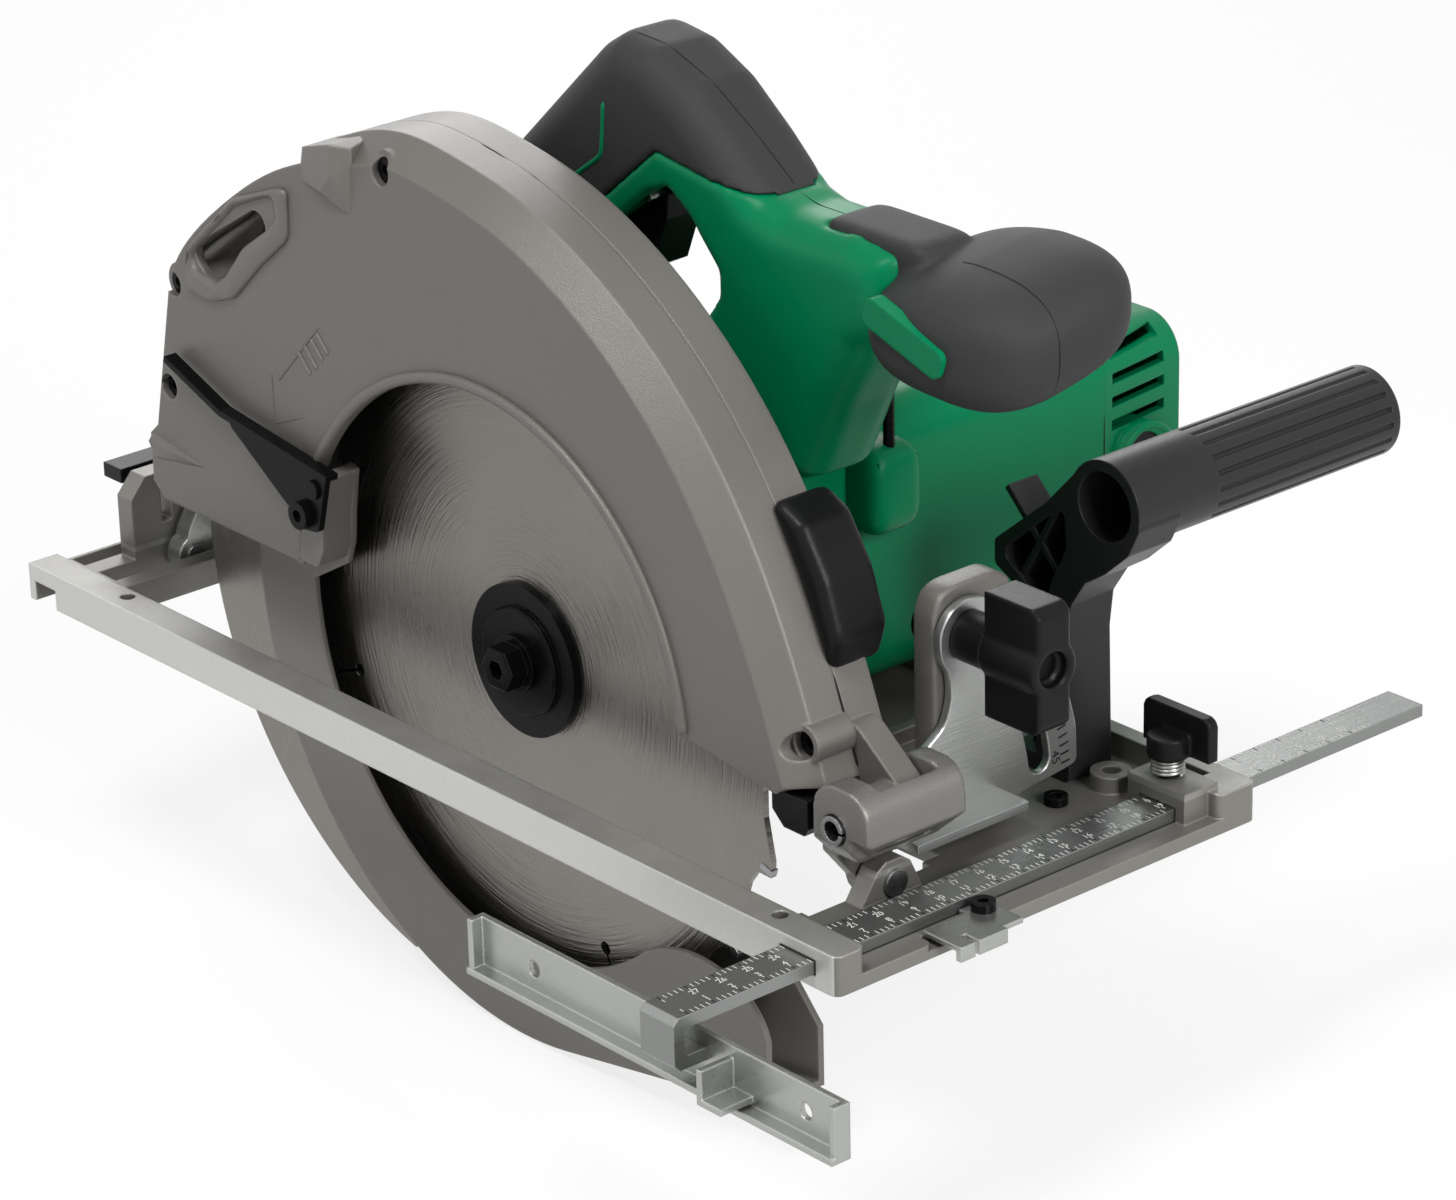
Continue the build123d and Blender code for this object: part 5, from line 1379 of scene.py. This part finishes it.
@dataclass
class Studio:
    """Camera, lamps, floor and world."""

    camera_at: Point = (1.01963, -0.94042, 0.69757)
    target: Point = (-0.14965, 0.060, 0.04024)
    roll: float = -1.40
    lens: float = 132.18
    lit_point: Point = (-0.17, 0.03, 0.06)
    lamps: tuple[Lamp, ...] = (
        Lamp("key", (0.05, -0.75, 1.7), 0.6, 26),
        Lamp("front", (1.5, 0.0, 0.9), 0.7, 28),
        Lamp("left", (-1.3, -1.2, 0.8), 0.8, 2.5),
        Lamp("back", (-1.3, 0.9, 0.8), 0.8, 7),
    )
    floor_half: float = 6.0
    floor_tone: float = 0.9
    floor_glow: float = 0.8
    fill: float = 0.16

    def camera(self) -> None:
        """Camera looking from its place to the target, rolled a little about the line of sight."""
        data = bpy.data.cameras.new("camera")
        data.lens, data.sensor_width, data.clip_end = self.lens, 36.0, 50.0
        forward = unit(np.array(self.target) - np.array(self.camera_at))
        right = unit(np.cross(forward, (0, 0, 1)))
        up = np.cross(right, forward)
        turn = math.radians(self.roll)
        side = math.cos(turn) * right + math.sin(turn) * up
        top = -math.sin(turn) * right + math.cos(turn) * up
        matrix = np.eye(4)
        matrix[:3] = np.stack([side, top, -forward, self.camera_at], -1)
        camera = linked("camera", data)
        camera.matrix_world = Matrix(matrix.tolist())
        bpy.context.scene.camera = camera

    def shown_white(self, bench: Bench) -> Wire:
        """One for camera, glossy and transmission rays, and nought for the others.

        Args:
            bench: the bench of the floor's or the world's tree.
        Returns:
            The value.
        """
        path = bench.node("ShaderNodeLightPath")
        seen, glossy, through = [Wire(bench, path.outputs[name]) for name in
                                 ("Is Camera Ray", "Is Glossy Ray", "Is Transmission Ray")]
        return (seen + glossy + through).clipped()

    def floor(self, low: float) -> None:
        """Pale floor under the lowest point, which keeps a soft shadow.

        Args:
            low: its height in metres.
        """
        half = self.floor_half
        corners = np.array([(-half, -half, low), (half, -half, low), (half, half, low), (-half, half, low)])
        floor = mesh_piece("floor", corners, [(0, 1, 2, 3)], False)
        material, bench, shader = material_bench("floor_white")
        bench.feed(shader.inputs["Base Color"], (self.floor_tone, self.floor_tone, self.floor_tone, 1))
        bench.feed(shader.inputs["Roughness"], 0.9)
        glow = bench.add("ShaderNodeEmission", {}, {"Color": (1, 1, 1, 1), "Strength": 1.0})
        share = self.shown_white(bench) * self.floor_glow
        mixed = bench.add("ShaderNodeMixShader", {}, {0: share, 1: Wire(bench, shader.outputs[0]), 2: glow})
        bench.feed(bench.found("OUTPUT_MATERIAL").inputs["Surface"], mixed)
        floor.data.materials.append(material)
        floor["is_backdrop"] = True

    def world(self) -> None:
        """White world to the camera and in reflections, and a soft grey light elsewhere."""
        world = bpy.data.worlds.new("studio")
        bpy.context.scene.world = world
        world.use_nodes = True
        bench = Bench(world.node_tree)
        bench.tree.nodes.clear()
        sky, fill = [bench.add("ShaderNodeBackground", {}, {"Color": (1, 1, 1, 1), "Strength": strength})
                     for strength in (1.0, self.fill)]
        mixed = bench.add("ShaderNodeMixShader", {}, {0: self.shown_white(bench), 1: fill, 2: sky})
        bench.node("ShaderNodeOutputWorld", {}, {"Surface": mixed})

    def build(self, low: float) -> None:
        """Set up the whole studio.

        Args:
            low: the floor's height in metres.
        """
        self.camera()
        self.floor(low)
        self.world()
        for lamp in self.lamps:
            lamp.build(self.lit_point)


def main() -> None:
    """Load the solids, build every piece in order and set up the studio."""
    logging.basicConfig(level=logging.INFO, format="%(message)s")
    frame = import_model()
    solid_box = [list(map(float, corner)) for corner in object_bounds()]
    bpy.context.scene.view_settings.view_transform = "Standard"
    shop = Shop()
    shop.dress_solids(frame)
    for assembly in (UpperGuard(shop), Blade(shop), FenceScale(shop), BevelPlates(shop), ClampSpring(shop),
                     Mouldings(shop, frame)):
        log.info("building %s", type(assembly).__name__)
        assembly.build()
    Studio().build(solid_box[0][2] - FLOOR_GAP)


if __name__ == "__main__":
    main()
